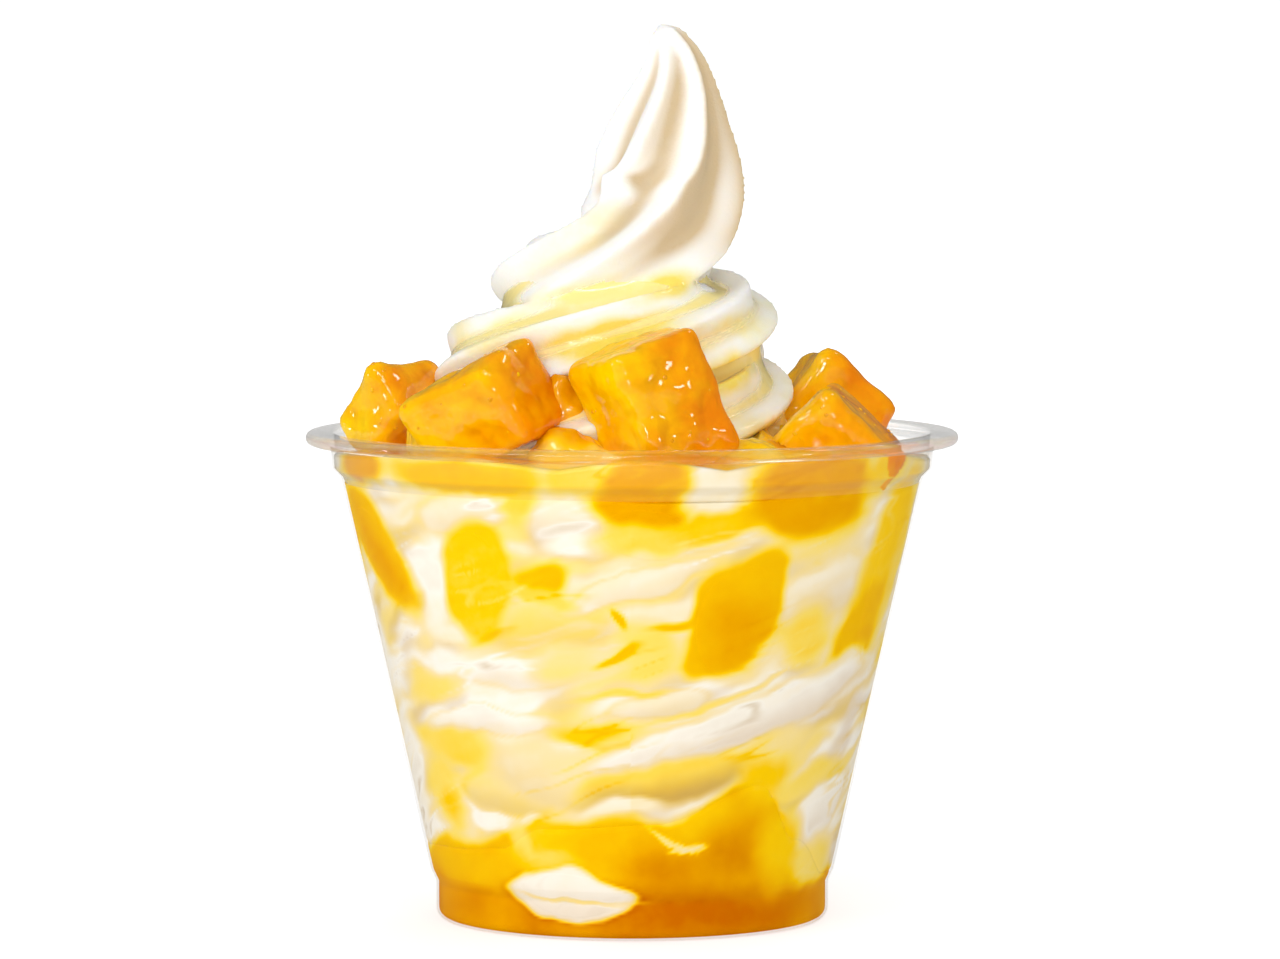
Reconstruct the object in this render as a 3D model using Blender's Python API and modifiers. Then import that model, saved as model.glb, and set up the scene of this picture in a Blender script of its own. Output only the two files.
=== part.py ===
"""A frozen yogurt cup: soft-serve frozen yogurt with mango sauce and mango chunks in a clear plastic cup.

Metres, +Z up. The origin is the centre of the base, on the surface that the cup stands on.
-Y is the front. Angles round the cup start at +X and run anticlockwise seen from above, so the front
is at 270 degrees.
"""

import math
import random

import bmesh
import bpy
from mathutils import Euler, Matrix, Vector

MM = 0.001
TURN = 2 * math.pi

# The cup
WALL = 0.5 * MM
RIM_RADIUS = 46.0 * MM
RIM_HEIGHT = 68.95 * MM
RIM_BEAD = 1.8 * MM
COLLAR_RADIUS = 42.5 * MM
COLLAR_BASE_RADIUS = 42.3 * MM
COLLAR_BASE = 63.8 * MM
SHOULDER_RADIUS = 41.1 * MM
SHOULDER_BASE = 62.6 * MM
HEEL_RADIUS = 28.5 * MM
HEEL_HEIGHT = 7.0 * MM
FOOT_RADIUS = 27.7 * MM
FOOT_HEIGHT = 5.3 * MM
FOOT_ROUND = 1.5 * MM
STANDING_RING = 2.0 * MM
BASE_RECESS = 1.4 * MM
CUP_SEGMENTS = 60

# What fills the cup, with a gap between one solid and the next
GAP = 0.3 * MM
FILL_SEGMENTS = 48
FILL_LEVEL = 62.2 * MM
FILL_MIDDLE = 34.2 * MM
MOUND_RISE = 7.5 * MM
CLEAR_ABOVE = 100 * MM

# Height in mm of the sauce pool's edge at angles in degrees
POOL_SHORE = [
    (0, 7.6), (30, 9.0), (60, 14.0), (90, 17.5), (120, 15.0), (150, 12.0), (180, 11.6), (215, 12.4),
    (231, 13.2), (246, 16.5), (277, 17.4), (304, 22.4), (320, 14.0), (342, 8.0),
]
POOL_CENTRE = 14.5 * MM
POOL_SHARES = (0.3, 0.6, 0.85, 1.0)
MOUND_SHARES = (0.98, 0.8, 0.5)

# Sauce pockets against the wall: the angle in degrees, the height, half width, half height and depth in mm,
# and the lean in degrees
SAUCE_POCKETS = [
    (198, 52.0, 10.5, 8.8, 4.0, 8),
    (234.5, 50.0, 6.0, 8.8, 4.5, -6),
    (293.8, 44.8, 8.2, 9.6, 5.0, -14),
    (339, 48.0, 6.2, 13.6, 4.0, -17),
    (273, 57.2, 8.0, 4.2, 3.6, -8),
    (38, 50.0, 8.0, 10.0, 4.5, 12),
    (92, 44.0, 9.0, 9.5, 5.0, -10),
    (150, 47.0, 6.5, 8.8, 4.5, 9),
]
POCKETS_UNDER_CHUNKS = [(4, 4), (5, 3)]
LENS_SEGMENTS = 16
LENS_RINGS = 8
YOGURT_BLOB = (243, 7.4, 8.4, 3.6, 4.0, -4)

# Mango chunks: centre in mm, size in mm, and the turn in degrees about X, Y and Z with Z first
MANGO_CHUNKS = [
    ((-32.8, 1.5, 71.2), (13.0, 10.0, 12.0), (-86, 51, 131)),
    ((-20.6, -22.0, 73.0), (18.0, 12.8, 13.0), (0, -28, -35)),
    ((2.9, -26.8, 73.7), (14.6, 14.6, 18.6), (4, -21, 33)),
    ((27.8, -15.0, 66.6), (14.8, 14.0, 14.8), (0, -46, -6)),
    ((27.6, 8.2, 70.4), (14.2, 14.0, 14.2), (14, -50, 22)),
    ((18.4, 24.4, 66.6), (13.0, 12.4, 13.4), (18, 12, 40)),
    ((2.6, 29.8, 69.0), (14.4, 13.0, 15.0), (-8, 12, 10)),
    ((-15.0, 26.2, 67.8), (12.8, 12.0, 13.2), (22, -12, 42)),
    ((-28.6, 16.6, 66.0), (11.2, 10.6, 12.6), (-12, 20, 62)),
]
CHUNK_ROUNDING = 1.7 * MM
CHUNK_UNEVENNESS = 0.06
CHUNK_SEED = 7

# The swirl is a fluted rope that coils anticlockwise as it rises and is then drawn up to a point.
# Each row has the turns made, the centre's X, the coil's radius, the height and the rope's radius in mm,
# and the twist of the rope's ridges in degrees.
ROPE_ROWS = [
    (-1.25, -2.0, 25.4, 58.4, 8.2, 160),
    (-1.00, -2.0, 24.6, 61.0, 8.2, 100),
    (-0.75, -2.0, 23.4, 63.6, 8.1, 42),
    (-0.50, -2.0, 22.0, 66.2, 8.0, -21),
    (-0.25, -2.0, 20.0, 69.2, 7.9, -82),
    (0.00, -2.1, 18.0, 72.2, 7.8, -141),
    (0.25, -2.4, 18.4, 75.2, 7.8, -201),
    (0.50, -2.8, 17.7, 77.8, 7.8, -259),
    (0.75, -2.5, 16.3, 81.6, 7.7, -314),
    (1.00, -1.5, 14.9, 83.8, 7.5, -383),
    (1.25, -0.8, 13.2, 85.6, 7.8, -434),
    (1.50, -0.2, 11.9, 88.2, 8.3, -480),
    (1.75, -1.5, 7.4, 92.2, 9.6, -508),
    (1.88, -0.2, 4.4, 97.0, 11.8, -503),
    (1.95, 4.0, 1.0, 102.4, 11.5, -500),
    (2.00, 5.1, 0.0, 108.0, 10.3, -486),
    (2.00, 5.6, 0.0, 113.0, 8.4, -478),
    (2.00, 6.0, 0.0, 118.0, 6.1, -472),
    (2.00, 5.6, 0.0, 122.0, 4.1, -471),
    (2.00, 4.4, 0.0, 125.0, 2.4, -471),
]
ROW_STEPS = 10
TANGENT_REACH = 8
TIP_SHARE = 0.6
ROPE_RIDGES = 6
RIDGE_POINTS = 8
RIDGE_DEPTH = 0.28
RIDGE_SHARPNESS = 1.3
CORE_RADII = (20.0 * MM, 6.5 * MM)
CORE_HEIGHTS = (58.0 * MM, 93.0 * MM)
CORE_OFFSET = 1.0 * MM
CORE_SEGMENTS = 32
SKIN_VOXEL = 0.55 * MM
SKIN_KEPT = 0.039


def clear_scene():
    for obj in list(bpy.data.objects):
        bpy.data.objects.remove(obj, do_unlink=True)


def make_collection(name, hidden=False):
    collection = bpy.data.collections.new(name)
    collection.hide_render = hidden
    bpy.context.scene.collection.children.link(collection)
    return collection


def make_material(name, colour, roughness, alpha=1.0):
    material = bpy.data.materials.new(name)
    material.use_nodes = True
    shader = material.node_tree.nodes["Principled BSDF"]
    shader.inputs["Base Color"].default_value = (*colour, 1.0)
    shader.inputs["Roughness"].default_value = roughness
    shader.inputs["Alpha"].default_value = alpha
    material.diffuse_color = (*colour, alpha)
    return material


def make_object(name, mesh, collection, material=None):
    obj = bpy.data.objects.new(name, mesh)
    collection.objects.link(obj)
    if material:
        mesh.materials.append(material)
    if collection.hide_render:
        obj.hide_render = True
        obj.display_type = "WIRE"
    return obj


def mesh_from(name, edit, sharp_degrees=35):
    """Takes a bmesh into a new smooth-shaded mesh, with its faces turned outwards."""
    bmesh.ops.recalc_face_normals(edit, faces=edit.faces)
    mesh = bpy.data.meshes.new(name)
    edit.to_mesh(mesh)
    edit.free()
    mesh.shade_smooth()
    mesh.set_sharp_from_angle(angle=math.radians(sharp_degrees))
    return mesh


def boolean(obj, operation, other):
    cut = obj.modifiers.new(f"{operation.title()} {other.name}", "BOOLEAN")
    cut.operation = operation
    cut.solver = "EXACT"
    cut.object = other


def arc(centre, radius, start_degrees, end_degrees, steps):
    """Points of an arc in the profile plane, both ends included, as (radius, height) pairs."""
    points = []
    for i in range(steps + 1):
        angle = math.radians(start_degrees + (end_degrees - start_degrees) * i / steps)
        points.append((centre[0] + radius * math.cos(angle), centre[1] + radius * math.sin(angle)))
    return points


def polar(radius, angle, height):
    return Vector((radius * math.cos(angle), radius * math.sin(angle), height))


def catmull_rom(before, start, end, after, t):
    """A point of the smooth curve from start to end, for rows of numbers."""
    point = []
    for a, b, c, d in zip(before, start, end, after):
        cubic = (3 * b - a - 3 * c + d) * t**3
        point.append((2 * b + (c - a) * t + (2 * a - 5 * b + 4 * c - d) * t**2 + cubic) / 2)
    return point


def smooth_rows(rows, steps):
    """Rows of numbers with smooth steps put in between them."""
    ahead = [2 * a - b for a, b in zip(rows[0], rows[1])]
    behind = [2 * a - b for a, b in zip(rows[-1], rows[-2])]
    ends = [ahead, *rows, behind]
    fine = []
    for four in zip(ends, ends[1:], ends[2:], ends[3:]):
        fine.extend(catmull_rom(*four, i / steps) for i in range(steps))
    fine.append(list(rows[-1]))
    return fine


def wall_outline():
    """The cup's outer side from under the rim down to the foot, as (radius, height) pairs."""
    return [
        (COLLAR_RADIUS, RIM_HEIGHT - RIM_BEAD),
        (COLLAR_BASE_RADIUS, COLLAR_BASE),
        (SHOULDER_RADIUS, SHOULDER_BASE),
        (HEEL_RADIUS, HEEL_HEIGHT),
        (FOOT_RADIUS, FOOT_HEIGHT),
    ]


def inner_radius(height):
    """Radius of the cup's inside at a height."""
    wall = [(z, r - WALL) for r, z in reversed(wall_outline())]
    for (z0, r0), (z1, r1) in zip(wall, wall[1:]):
        if height <= z1:
            return r0 + (r1 - r0) * max(0.0, height - z0) / (z1 - z0)
    return wall[-1][1]


def filling_radius(height):
    """Radius of what fills the cup, a gap inside its wall."""
    return inner_radius(height) - GAP


def cup_profile():
    """The cup's section, from the axis up the inside, over the rolled rim and down the outside."""
    floor = BASE_RECESS + WALL
    bead = RIM_BEAD / 2
    bend = (FOOT_RADIUS - FOOT_ROUND, FOOT_ROUND)
    ring = FOOT_RADIUS - FOOT_ROUND - STANDING_RING
    inside = [(r - WALL, z) for r, z in reversed(wall_outline())]
    return [
        (0.0, floor),
        (ring - 2 * WALL, floor),
        (ring, WALL),
        *arc(bend, FOOT_ROUND - WALL, -90, 0, 2),
        *inside[:-1],
        (COLLAR_RADIUS - WALL, RIM_HEIGHT - bead / 2),
        (COLLAR_RADIUS - WALL / 4, RIM_HEIGHT),
        *arc((RIM_RADIUS - bead, RIM_HEIGHT - bead), bead, 90, -90, 6),
        *wall_outline(),
        *arc(bend, FOOT_ROUND, 0, -90, 3),
        (ring, 0.0),
        (ring - 2 * WALL, BASE_RECESS),
        (0.0, BASE_RECESS),
    ]


def turned(name, profile, segments, collection, material=None):
    """A profile turned round the Z axis by a Screw modifier."""
    mesh = bpy.data.meshes.new(name)
    points = [(r, 0.0, z) for r, z in profile]
    mesh.from_pydata(points, [(i, i + 1) for i in range(len(points) - 1)], [])
    obj = make_object(name, mesh, collection, material)
    screw = obj.modifiers.new("Turn", "SCREW")
    screw.steps = segments
    screw.render_steps = segments
    screw.use_merge_vertices = True
    screw.merge_threshold = 0.01 * MM
    return obj


def make_inside(collection):
    """The room that the filling may take up, inside the cup and straight up from its rim."""
    wall = [(r - WALL - GAP, z) for r, z in wall_outline()]
    top = wall[0][0]
    floor = BASE_RECESS + WALL + GAP
    profile = [(0.0, CLEAR_ABOVE), (top, CLEAR_ABOVE), *wall, (wall[-1][0], floor), (0.0, floor)]
    return turned("Inside of the cup", profile, FILL_SEGMENTS, collection)


def loft(edit, loops, first, last):
    """Joins closed loops of points into a skin and closes it with a point at either end."""
    rings = [[edit.verts.new(point) for point in loop] for loop in loops]
    for lower, upper in zip(rings, rings[1:]):
        for k in range(len(lower)):
            edit.faces.new((lower[k - 1], lower[k], upper[k], upper[k - 1]))
    for ring, end in ((rings[0], edit.verts.new(first)), (rings[-1], edit.verts.new(last))):
        for k in range(len(ring)):
            edit.faces.new((end, ring[k - 1], ring[k]))


def pool_shore(angle):
    """Height of the sauce pool's edge at an angle round the cup."""
    degrees = math.degrees(angle) % 360
    shore = [*POOL_SHORE, (360 + POOL_SHORE[0][0], POOL_SHORE[0][1])]
    for (a0, z0), (a1, z1) in zip(shore, shore[1:]):
        if degrees <= a1:
            part = (degrees - a0) / (a1 - a0)
            return (z0 + (z1 - z0) * part * part * (3 - 2 * part)) * MM
    return POOL_SHORE[0][1] * MM


def pool_top(angle, share):
    """A point of the sauce pool's top, where share runs from 0 at the axis to 1 at the wall."""
    shore = pool_shore(angle)
    return polar(filling_radius(shore) * share, angle, POOL_CENTRE + (shore - POOL_CENTRE) * share**1.5)


def make_pool(collection, material):
    """The mango sauce that lies in the bottom of the cup."""
    angles = [TURN * k / FILL_SEGMENTS for k in range(FILL_SEGMENTS)]
    floor = BASE_RECESS + WALL + GAP
    low = FOOT_ROUND + GAP
    ring = FOOT_RADIUS - FOOT_ROUND - STANDING_RING
    loops = [
        [polar(ring - 3 * WALL, a, floor) for a in angles],
        [polar(filling_radius(low) - GAP, a, floor + GAP) for a in angles],
        [polar(filling_radius(FOOT_HEIGHT), a, FOOT_HEIGHT) for a in angles],
        [polar(filling_radius(HEEL_HEIGHT), a, HEEL_HEIGHT) for a in angles],
        *[[pool_top(a, share) for a in angles] for share in reversed(POOL_SHARES)],
    ]
    edit = bmesh.new()
    loft(edit, loops, Vector((0, 0, floor)), Vector((0, 0, POOL_CENTRE)))
    return make_object("mango_sauce_pool", mesh_from("mango_sauce_pool", edit), collection, material)


def mound_top(angle, share):
    """A point of the yogurt's top under the fruit and the swirl."""
    ripple = (0.7 * math.cos(3 * angle + 0.8) + 0.4 * math.cos(7 * angle)) * share * MM
    height = FILL_LEVEL + MOUND_RISE * (1 - share**2) + ripple
    return polar(filling_radius(FILL_LEVEL) * share, angle, height)


def fill_mesh():
    """The yogurt in the cup, from the sauce pool up to a low mound."""
    angles = [TURN * k / FILL_SEGMENTS for k in range(FILL_SEGMENTS)]
    lift = Vector((0, 0, GAP))
    wall = [
        [polar(filling_radius(z), a, z) for a in angles]
        for z in (FILL_MIDDLE, FILL_LEVEL - 4 * GAP)
    ]
    loops = [
        *[[pool_top(a, share) + lift for a in angles] for share in POOL_SHARES],
        *wall,
        *[[mound_top(a, share) for a in angles] for share in MOUND_SHARES],
    ]
    edit = bmesh.new()
    loft(edit, loops, Vector((0, 0, POOL_CENTRE + GAP)), Vector((0, 0, FILL_LEVEL + MOUND_RISE)))
    return mesh_from("frozen_yogurt", edit)


def rope_frames(centres):
    """For each point of the rope's centre line, two directions across it, carried on without a twist."""
    count = len(centres)
    frames = []
    across = Vector((0, 0, 1))
    for i in range(count):
        reach = min(TANGENT_REACH, i, count - 1 - i) or 1
        along = (centres[min(count - 1, i + reach)] - centres[max(0, i - reach)]).normalized()
        across = (across - along * across.dot(along)).normalized()
        frames.append((across, along.cross(across), along))
    return frames


def rope_section(centre, frame, radius, twist):
    """One fluted section of the rope, with sharp ridges and hollow valleys."""
    count = ROPE_RIDGES * RIDGE_POINTS
    across, beside, _ = frame
    points = []
    for k in range(count):
        angle = TURN * k / count
        valley = abs(math.sin(ROPE_RIDGES * angle / 2)) ** RIDGE_SHARPNESS
        turn = angle + math.radians(twist)
        reach = radius * MM * (1 - RIDGE_DEPTH * valley)
        points.append(centre + (across * math.cos(turn) + beside * math.sin(turn)) * reach)
    return points


def make_swirl(collection):
    """The swirl as one skin over the coiled rope and a cone inside the coils."""
    rows = smooth_rows(ROPE_ROWS, ROW_STEPS)
    centres = []
    for turns, x, coil, z, _, _ in rows:
        centres.append(Vector((x * MM, 0, 0)) + polar(coil * MM, TURN * turns, z * MM))
    frames = rope_frames(centres)
    loops = [rope_section(c, f, row[4], row[5]) for c, f, row in zip(centres, frames, rows)]
    tip = centres[-1] + frames[-1][2] * rows[-1][4] * TIP_SHARE * MM
    edit = bmesh.new()
    loft(edit, loops, centres[0], tip)
    bmesh.ops.create_cone(
        edit, cap_ends=True, segments=CORE_SEGMENTS, radius1=CORE_RADII[0], radius2=CORE_RADII[1],
        depth=CORE_HEIGHTS[1] - CORE_HEIGHTS[0],
        matrix=Matrix.Translation((CORE_OFFSET, 0, sum(CORE_HEIGHTS) / 2)),
    )
    swirl = make_object("Swirl", mesh_from("Swirl", edit), collection)
    skin = swirl.modifiers.new("Skin", "REMESH")
    skin.mode = "VOXEL"
    skin.voxel_size = SKIN_VOXEL
    ease = swirl.modifiers.new("Ease", "SMOOTH")
    ease.iterations = 2
    thin = swirl.modifiers.new("Thin", "DECIMATE")
    thin.ratio = SKIN_KEPT
    return swirl


def pocket(name, place, margin, collection, material=None):
    """A lens of sauce or yogurt against the cup's wall."""
    degrees, height, half_width, half_height, depth, lean = place
    size = Matrix.Diagonal((depth * MM + margin, half_width * MM + margin, half_height * MM + margin, 1))
    centre = polar(inner_radius(height * MM) - GAP * 2, 0, height * MM)
    turn = Matrix.Rotation(math.radians(degrees), 4, "Z")
    tilt = Matrix.Rotation(math.radians(lean), 4, "X")
    edit = bmesh.new()
    across = Matrix.Rotation(math.radians(90), 4, "Y")
    bmesh.ops.create_uvsphere(
        edit, u_segments=LENS_SEGMENTS, v_segments=LENS_RINGS, radius=1.0,
        matrix=turn @ Matrix.Translation(centre) @ tilt @ size @ across,
    )
    return make_object(name, mesh_from(name, edit), collection, material)


def make_chunk(name, number, margin, collection, material=None):
    """A mango chunk, an uneven block with soft corners."""
    centre, size, rotation = MANGO_CHUNKS[number - 1]
    rng = random.Random(CHUNK_SEED + number)
    edit = bmesh.new()
    bmesh.ops.create_cube(edit, size=1.0)
    for vert in edit.verts:
        for axis in range(3):
            shift = rng.uniform(-CHUNK_UNEVENNESS, CHUNK_UNEVENNESS)
            vert.co[axis] = vert.co[axis] * (1 + shift) * (size[axis] * MM + 2 * margin)
    turn = Euler([math.radians(angle) for angle in rotation], "ZYX").to_matrix().to_4x4()
    edit.transform(Matrix.Translation(Vector(centre) * MM) @ turn)
    chunk = make_object(name, mesh_from(name, edit), collection, material)
    soft = chunk.modifiers.new("Soften", "BEVEL")
    soft.width = CHUNK_ROUNDING
    soft.segments = 2
    soft.limit_method = "NONE"
    return chunk


def main():
    clear_scene()
    model = make_collection("Frozen yogurt cup")
    cutters = make_collection("Cutters", hidden=True)
    plastic = make_material("Clear plastic", (0.92, 0.94, 0.95), 0.05, alpha=0.3)
    yogurt = make_material("Frozen yogurt", (0.90, 0.84, 0.70), 0.4)
    sauce = make_material("Mango sauce", (0.85, 0.42, 0.01), 0.15)
    mango = make_material("Mango", (0.90, 0.40, 0.01), 0.2)

    turned("cup", cup_profile(), CUP_SEGMENTS, model, plastic)
    inside = make_inside(cutters)
    pool = make_pool(model, sauce)
    body = make_object("frozen_yogurt", fill_mesh(), model, yogurt)
    boolean(body, "UNION", make_swirl(cutters))

    for number in range(1, len(MANGO_CHUNKS) + 1):
        chunk = make_chunk(f"mango_chunk_{number}", number, 0.0, model, mango)
        boolean(chunk, "INTERSECT", inside)
        boolean(body, "DIFFERENCE", make_chunk(f"Chunk room {number}", number, GAP, cutters))

    for number, place in enumerate(SAUCE_POCKETS, start=1):
        lens = pocket(f"sauce_pocket_{number}", place, 0.0, model, sauce)
        boolean(lens, "INTERSECT", inside)
        boolean(body, "DIFFERENCE", pocket(f"Pocket room {number}", place, GAP, cutters))
    for lens, room in POCKETS_UNDER_CHUNKS:
        boolean(model.objects[f"sauce_pocket_{lens}"], "DIFFERENCE", cutters.objects[f"Chunk room {room}"])

    blob = pocket("yogurt_blob", YOGURT_BLOB, 0.0, model, yogurt)
    boolean(blob, "INTERSECT", inside)
    boolean(pool, "DIFFERENCE", pocket("Blob room", YOGURT_BLOB, GAP, cutters))


if __name__ == "__main__":
    main()
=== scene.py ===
"""Frozen yogurt cup: the finish of every surface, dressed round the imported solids.

A clear plastic cup holds soft-serve frozen yogurt marbled with mango sauce. Glazed mango chunks ring the
top, and a fluted swirl is drawn up to a point. Metres, +Z up. The front is -Y, and angles round the cup
run anticlockwise from +X seen from above, so the front is at 270 degrees.
"""

import logging
import math
import random
from contextlib import contextmanager
from dataclasses import dataclass, field
from enum import Enum
from typing import Any, Callable, Iterator, Sequence

import bmesh
import bpy
import numpy as np
from mathutils import Matrix, Vector, noise
from mathutils.bvhtree import BVHTree


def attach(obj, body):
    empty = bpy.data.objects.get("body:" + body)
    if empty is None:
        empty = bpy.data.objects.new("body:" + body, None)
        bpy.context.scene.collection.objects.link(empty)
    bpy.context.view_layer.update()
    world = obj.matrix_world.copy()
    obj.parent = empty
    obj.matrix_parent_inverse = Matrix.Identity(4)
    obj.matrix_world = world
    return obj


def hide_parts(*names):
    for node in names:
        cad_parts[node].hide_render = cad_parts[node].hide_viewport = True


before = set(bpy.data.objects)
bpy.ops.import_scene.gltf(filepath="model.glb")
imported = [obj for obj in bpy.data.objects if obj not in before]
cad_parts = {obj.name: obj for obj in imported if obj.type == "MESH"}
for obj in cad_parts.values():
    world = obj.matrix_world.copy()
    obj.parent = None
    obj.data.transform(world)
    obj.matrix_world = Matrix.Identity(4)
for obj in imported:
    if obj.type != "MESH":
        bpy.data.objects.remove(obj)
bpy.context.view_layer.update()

MM = 0.001
TURN = 2 * math.pi
SEED = 11
BODY = "root"
WELD = 0.002 * MM
EVEN_SCALE = (1.0, 1.0, 1.0)

Colour = tuple[float, float, float, float]
Point = tuple[float, float, float]
Line = list[tuple[float, float]]

log = logging.getLogger("frozen_yogurt_cup")


# Numbers and small geometry helpers


def smoothstep(low: float, high: float, value: np.ndarray) -> np.ndarray:
    """A soft step from 0 at low to 1 at high.

    Args:
        low: Where the step starts.
        high: Where the step ends, which may be below low.
        value: The numbers to step.

    Returns:
        Numbers from 0 to 1.
    """
    share = np.clip((value - low) / (high - low), 0.0, 1.0)
    return share * share * (3 - 2 * share)


def noise_at(points: np.ndarray, size: float, seed: float = 0.0) -> np.ndarray:
    """Smooth noise in space.

    Args:
        points: Positions, one row each.
        size: The noise's feature size, in the points' unit.
        seed: Moves the noise, so that two calls differ.

    Returns:
        One number for each point, about -1 to 1.
    """
    shift = Vector((seed * 17.3, seed * 5.1, seed * 9.7))
    return np.array([noise.noise(Vector(p) / size + shift) for p in points])


def ring(angles: np.ndarray, radius: np.ndarray | float, height: np.ndarray | float) -> np.ndarray:
    """A loop of points round the Z axis.

    Args:
        angles: The points' angles in radians.
        radius: Their distance from the axis, one number or one for each.
        height: Their height, one number or one for each.

    Returns:
        The points, one row each.
    """
    flat = np.broadcast_to(radius, angles.shape)
    level = np.broadcast_to(height, angles.shape)
    return np.stack([flat * np.cos(angles), flat * np.sin(angles), level], axis=1)


def on_axis(height: float) -> np.ndarray:
    """The point of the Z axis at a height."""
    return np.array([0.0, 0.0, height])


def arc(centre: tuple[float, float], radius: float, start: float, end: float, steps: int) -> Line:
    """Points of an arc in the profile plane.

    Args:
        centre: The arc's centre as radius and height.
        radius: The arc's own radius.
        start: First angle in degrees.
        end: Last angle in degrees.
        steps: Number of stretches.

    Returns:
        Radius and height pairs, both ends included.
    """
    turns = np.radians(np.linspace(start, end, steps + 1))
    return [(centre[0] + radius * math.cos(t), centre[1] + radius * math.sin(t)) for t in turns]


def softened(line: Line, reach: float, steps: int = 4) -> Line:
    """Rounds the corners of an open line.

    Args:
        line: Radius and height pairs.
        reach: How far from a corner its rounding starts.
        steps: Number of stretches in a rounding.

    Returns:
        The rounded line.
    """
    points = [np.array(p) for p in line]
    soft = [points[0]]
    for before, corner, after in zip(points, points[1:], points[2:]):
        back = before - corner
        ahead = after - corner
        start = corner + back * min(0.45, reach / np.linalg.norm(back))
        end = corner + ahead * min(0.45, reach / np.linalg.norm(ahead))
        for i in range(steps + 1):
            t = i / steps
            soft.append((1 - t) ** 2 * start + 2 * t * (1 - t) * corner + t * t * end)
    soft.append(points[-1])
    return [tuple(p) for p in soft]


def catmull_rom(rows: np.ndarray, steps: int) -> np.ndarray:
    """Rows of numbers with smooth steps put in between them.

    Args:
        rows: One row for each station.
        steps: Number of stretches between two stations.

    Returns:
        The finer rows, first and last station included.
    """
    ends = np.vstack([2 * rows[0] - rows[1], rows, 2 * rows[-1] - rows[-2]])
    fine = []
    for a, b, c, d in zip(ends, ends[1:], ends[2:], ends[3:]):
        for t in np.arange(steps) / steps:
            cubic = (3 * b - a - 3 * c + d) * t**3
            fine.append((2 * b + (c - a) * t + (2 * a - 5 * b + 4 * c - d) * t**2 + cubic) / 2)
    fine.append(rows[-1])
    return np.array(fine)


# Meshes


@contextmanager
def edited(mesh: bpy.types.Mesh) -> Iterator[bmesh.types.BMesh]:
    """Opens a mesh for editing and writes it back.

    Args:
        mesh: The mesh to edit.

    Yields:
        Its points and faces.
    """
    edit = bmesh.new()
    edit.from_mesh(mesh)
    yield edit
    edit.to_mesh(mesh)
    edit.free()


def skin_of_loops(
    name: str, loops: Sequence[np.ndarray], first: np.ndarray, last: np.ndarray
) -> bpy.types.Mesh:
    """Joins closed loops of points into a skin that ends in a point at either end.

    Args:
        name: The mesh's name.
        loops: Loops with the same number of points, one row each.
        first: The point that closes the first loop.
        last: The point that closes the last loop.

    Returns:
        The closed mesh with its faces turned outwards.
    """
    count = len(loops[0])
    points = np.vstack([*loops, first[None, :], last[None, :]])
    here = np.arange(count)
    then = (here + 1) % count
    faces = []
    for level in range(len(loops) - 1):
        low, high = level * count, (level + 1) * count
        faces += np.stack([low + here, low + then, high + then, high + here], axis=1).tolist()
    tail = (len(loops) - 1) * count
    faces += np.stack([np.full(count, len(points) - 2), then, here], axis=1).tolist()
    faces += np.stack([np.full(count, len(points) - 1), tail + here, tail + then], axis=1).tolist()
    mesh = bpy.data.meshes.new(name)
    mesh.from_pydata(points.tolist(), [], faces)
    return turned_out(mesh)


def turned_out(mesh: bpy.types.Mesh, merge: float = 0.0) -> bpy.types.Mesh:
    """Turns a mesh's faces outwards and shades it smooth.

    Args:
        mesh: The mesh to change.
        merge: Points nearer than this are merged first.

    Returns:
        The same mesh.
    """
    with edited(mesh) as edit:
        if merge:
            bmesh.ops.remove_doubles(edit, verts=edit.verts, dist=merge)
        bmesh.ops.recalc_face_normals(edit, faces=edit.faces)
    mesh.shade_smooth()
    return mesh


def points_of(mesh: bpy.types.Mesh) -> np.ndarray:
    """A mesh's points, one row each."""
    flat = np.empty(len(mesh.vertices) * 3)
    mesh.vertices.foreach_get("co", flat)
    return flat.reshape(-1, 3)


def normals_of(mesh: bpy.types.Mesh) -> np.ndarray:
    """The normals at a mesh's points, one row each."""
    flat = np.empty(len(mesh.vertices) * 3)
    mesh.vertex_normals.foreach_get("vector", flat)
    return flat.reshape(-1, 3)


def move_points(mesh: bpy.types.Mesh, points: np.ndarray) -> None:
    """Puts a mesh's points at new places."""
    mesh.vertices.foreach_set("co", points.ravel())
    mesh.update()


def eased(mesh: bpy.types.Mesh, values: np.ndarray, rounds: int) -> np.ndarray:
    """Averages values over a mesh's edges.

    Args:
        mesh: The mesh that the values belong to.
        values: One row for each point.
        rounds: How many times each point takes the mean of its neighbours.

    Returns:
        The averaged values.
    """
    pairs = np.empty(len(mesh.edges) * 2, dtype=np.int64)
    mesh.edges.foreach_get("vertices", pairs)
    one, two = pairs.reshape(-1, 2).T
    count = len(mesh.vertices)
    share = np.bincount(one, minlength=count) + np.bincount(two, minlength=count)
    for _ in range(rounds):
        total = np.stack([
            np.bincount(one, column[two], count) + np.bincount(two, column[one], count)
            for column in values.T
        ], axis=1)
        values = total / np.maximum(share, 1)[:, None]
    return values


def paint(mesh: bpy.types.Mesh, name: str, values: np.ndarray) -> None:
    """Stores one number for each point of a mesh, for its material to read."""
    layer = mesh.attributes.new(name, "FLOAT", "POINT")
    layer.data.foreach_set("value", np.asarray(values, dtype=np.float32))


def new_object(name: str, data: bpy.types.ID) -> bpy.types.Object:
    """Puts a mesh, light or camera into the scene as an object."""
    thing = bpy.data.objects.new(name, data)
    bpy.context.scene.collection.objects.link(thing)
    return thing


def coat(mesh: bpy.types.Mesh, material: bpy.types.Material) -> None:
    """Gives a mesh one material."""
    mesh.materials.clear()
    mesh.materials.append(material)


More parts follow.
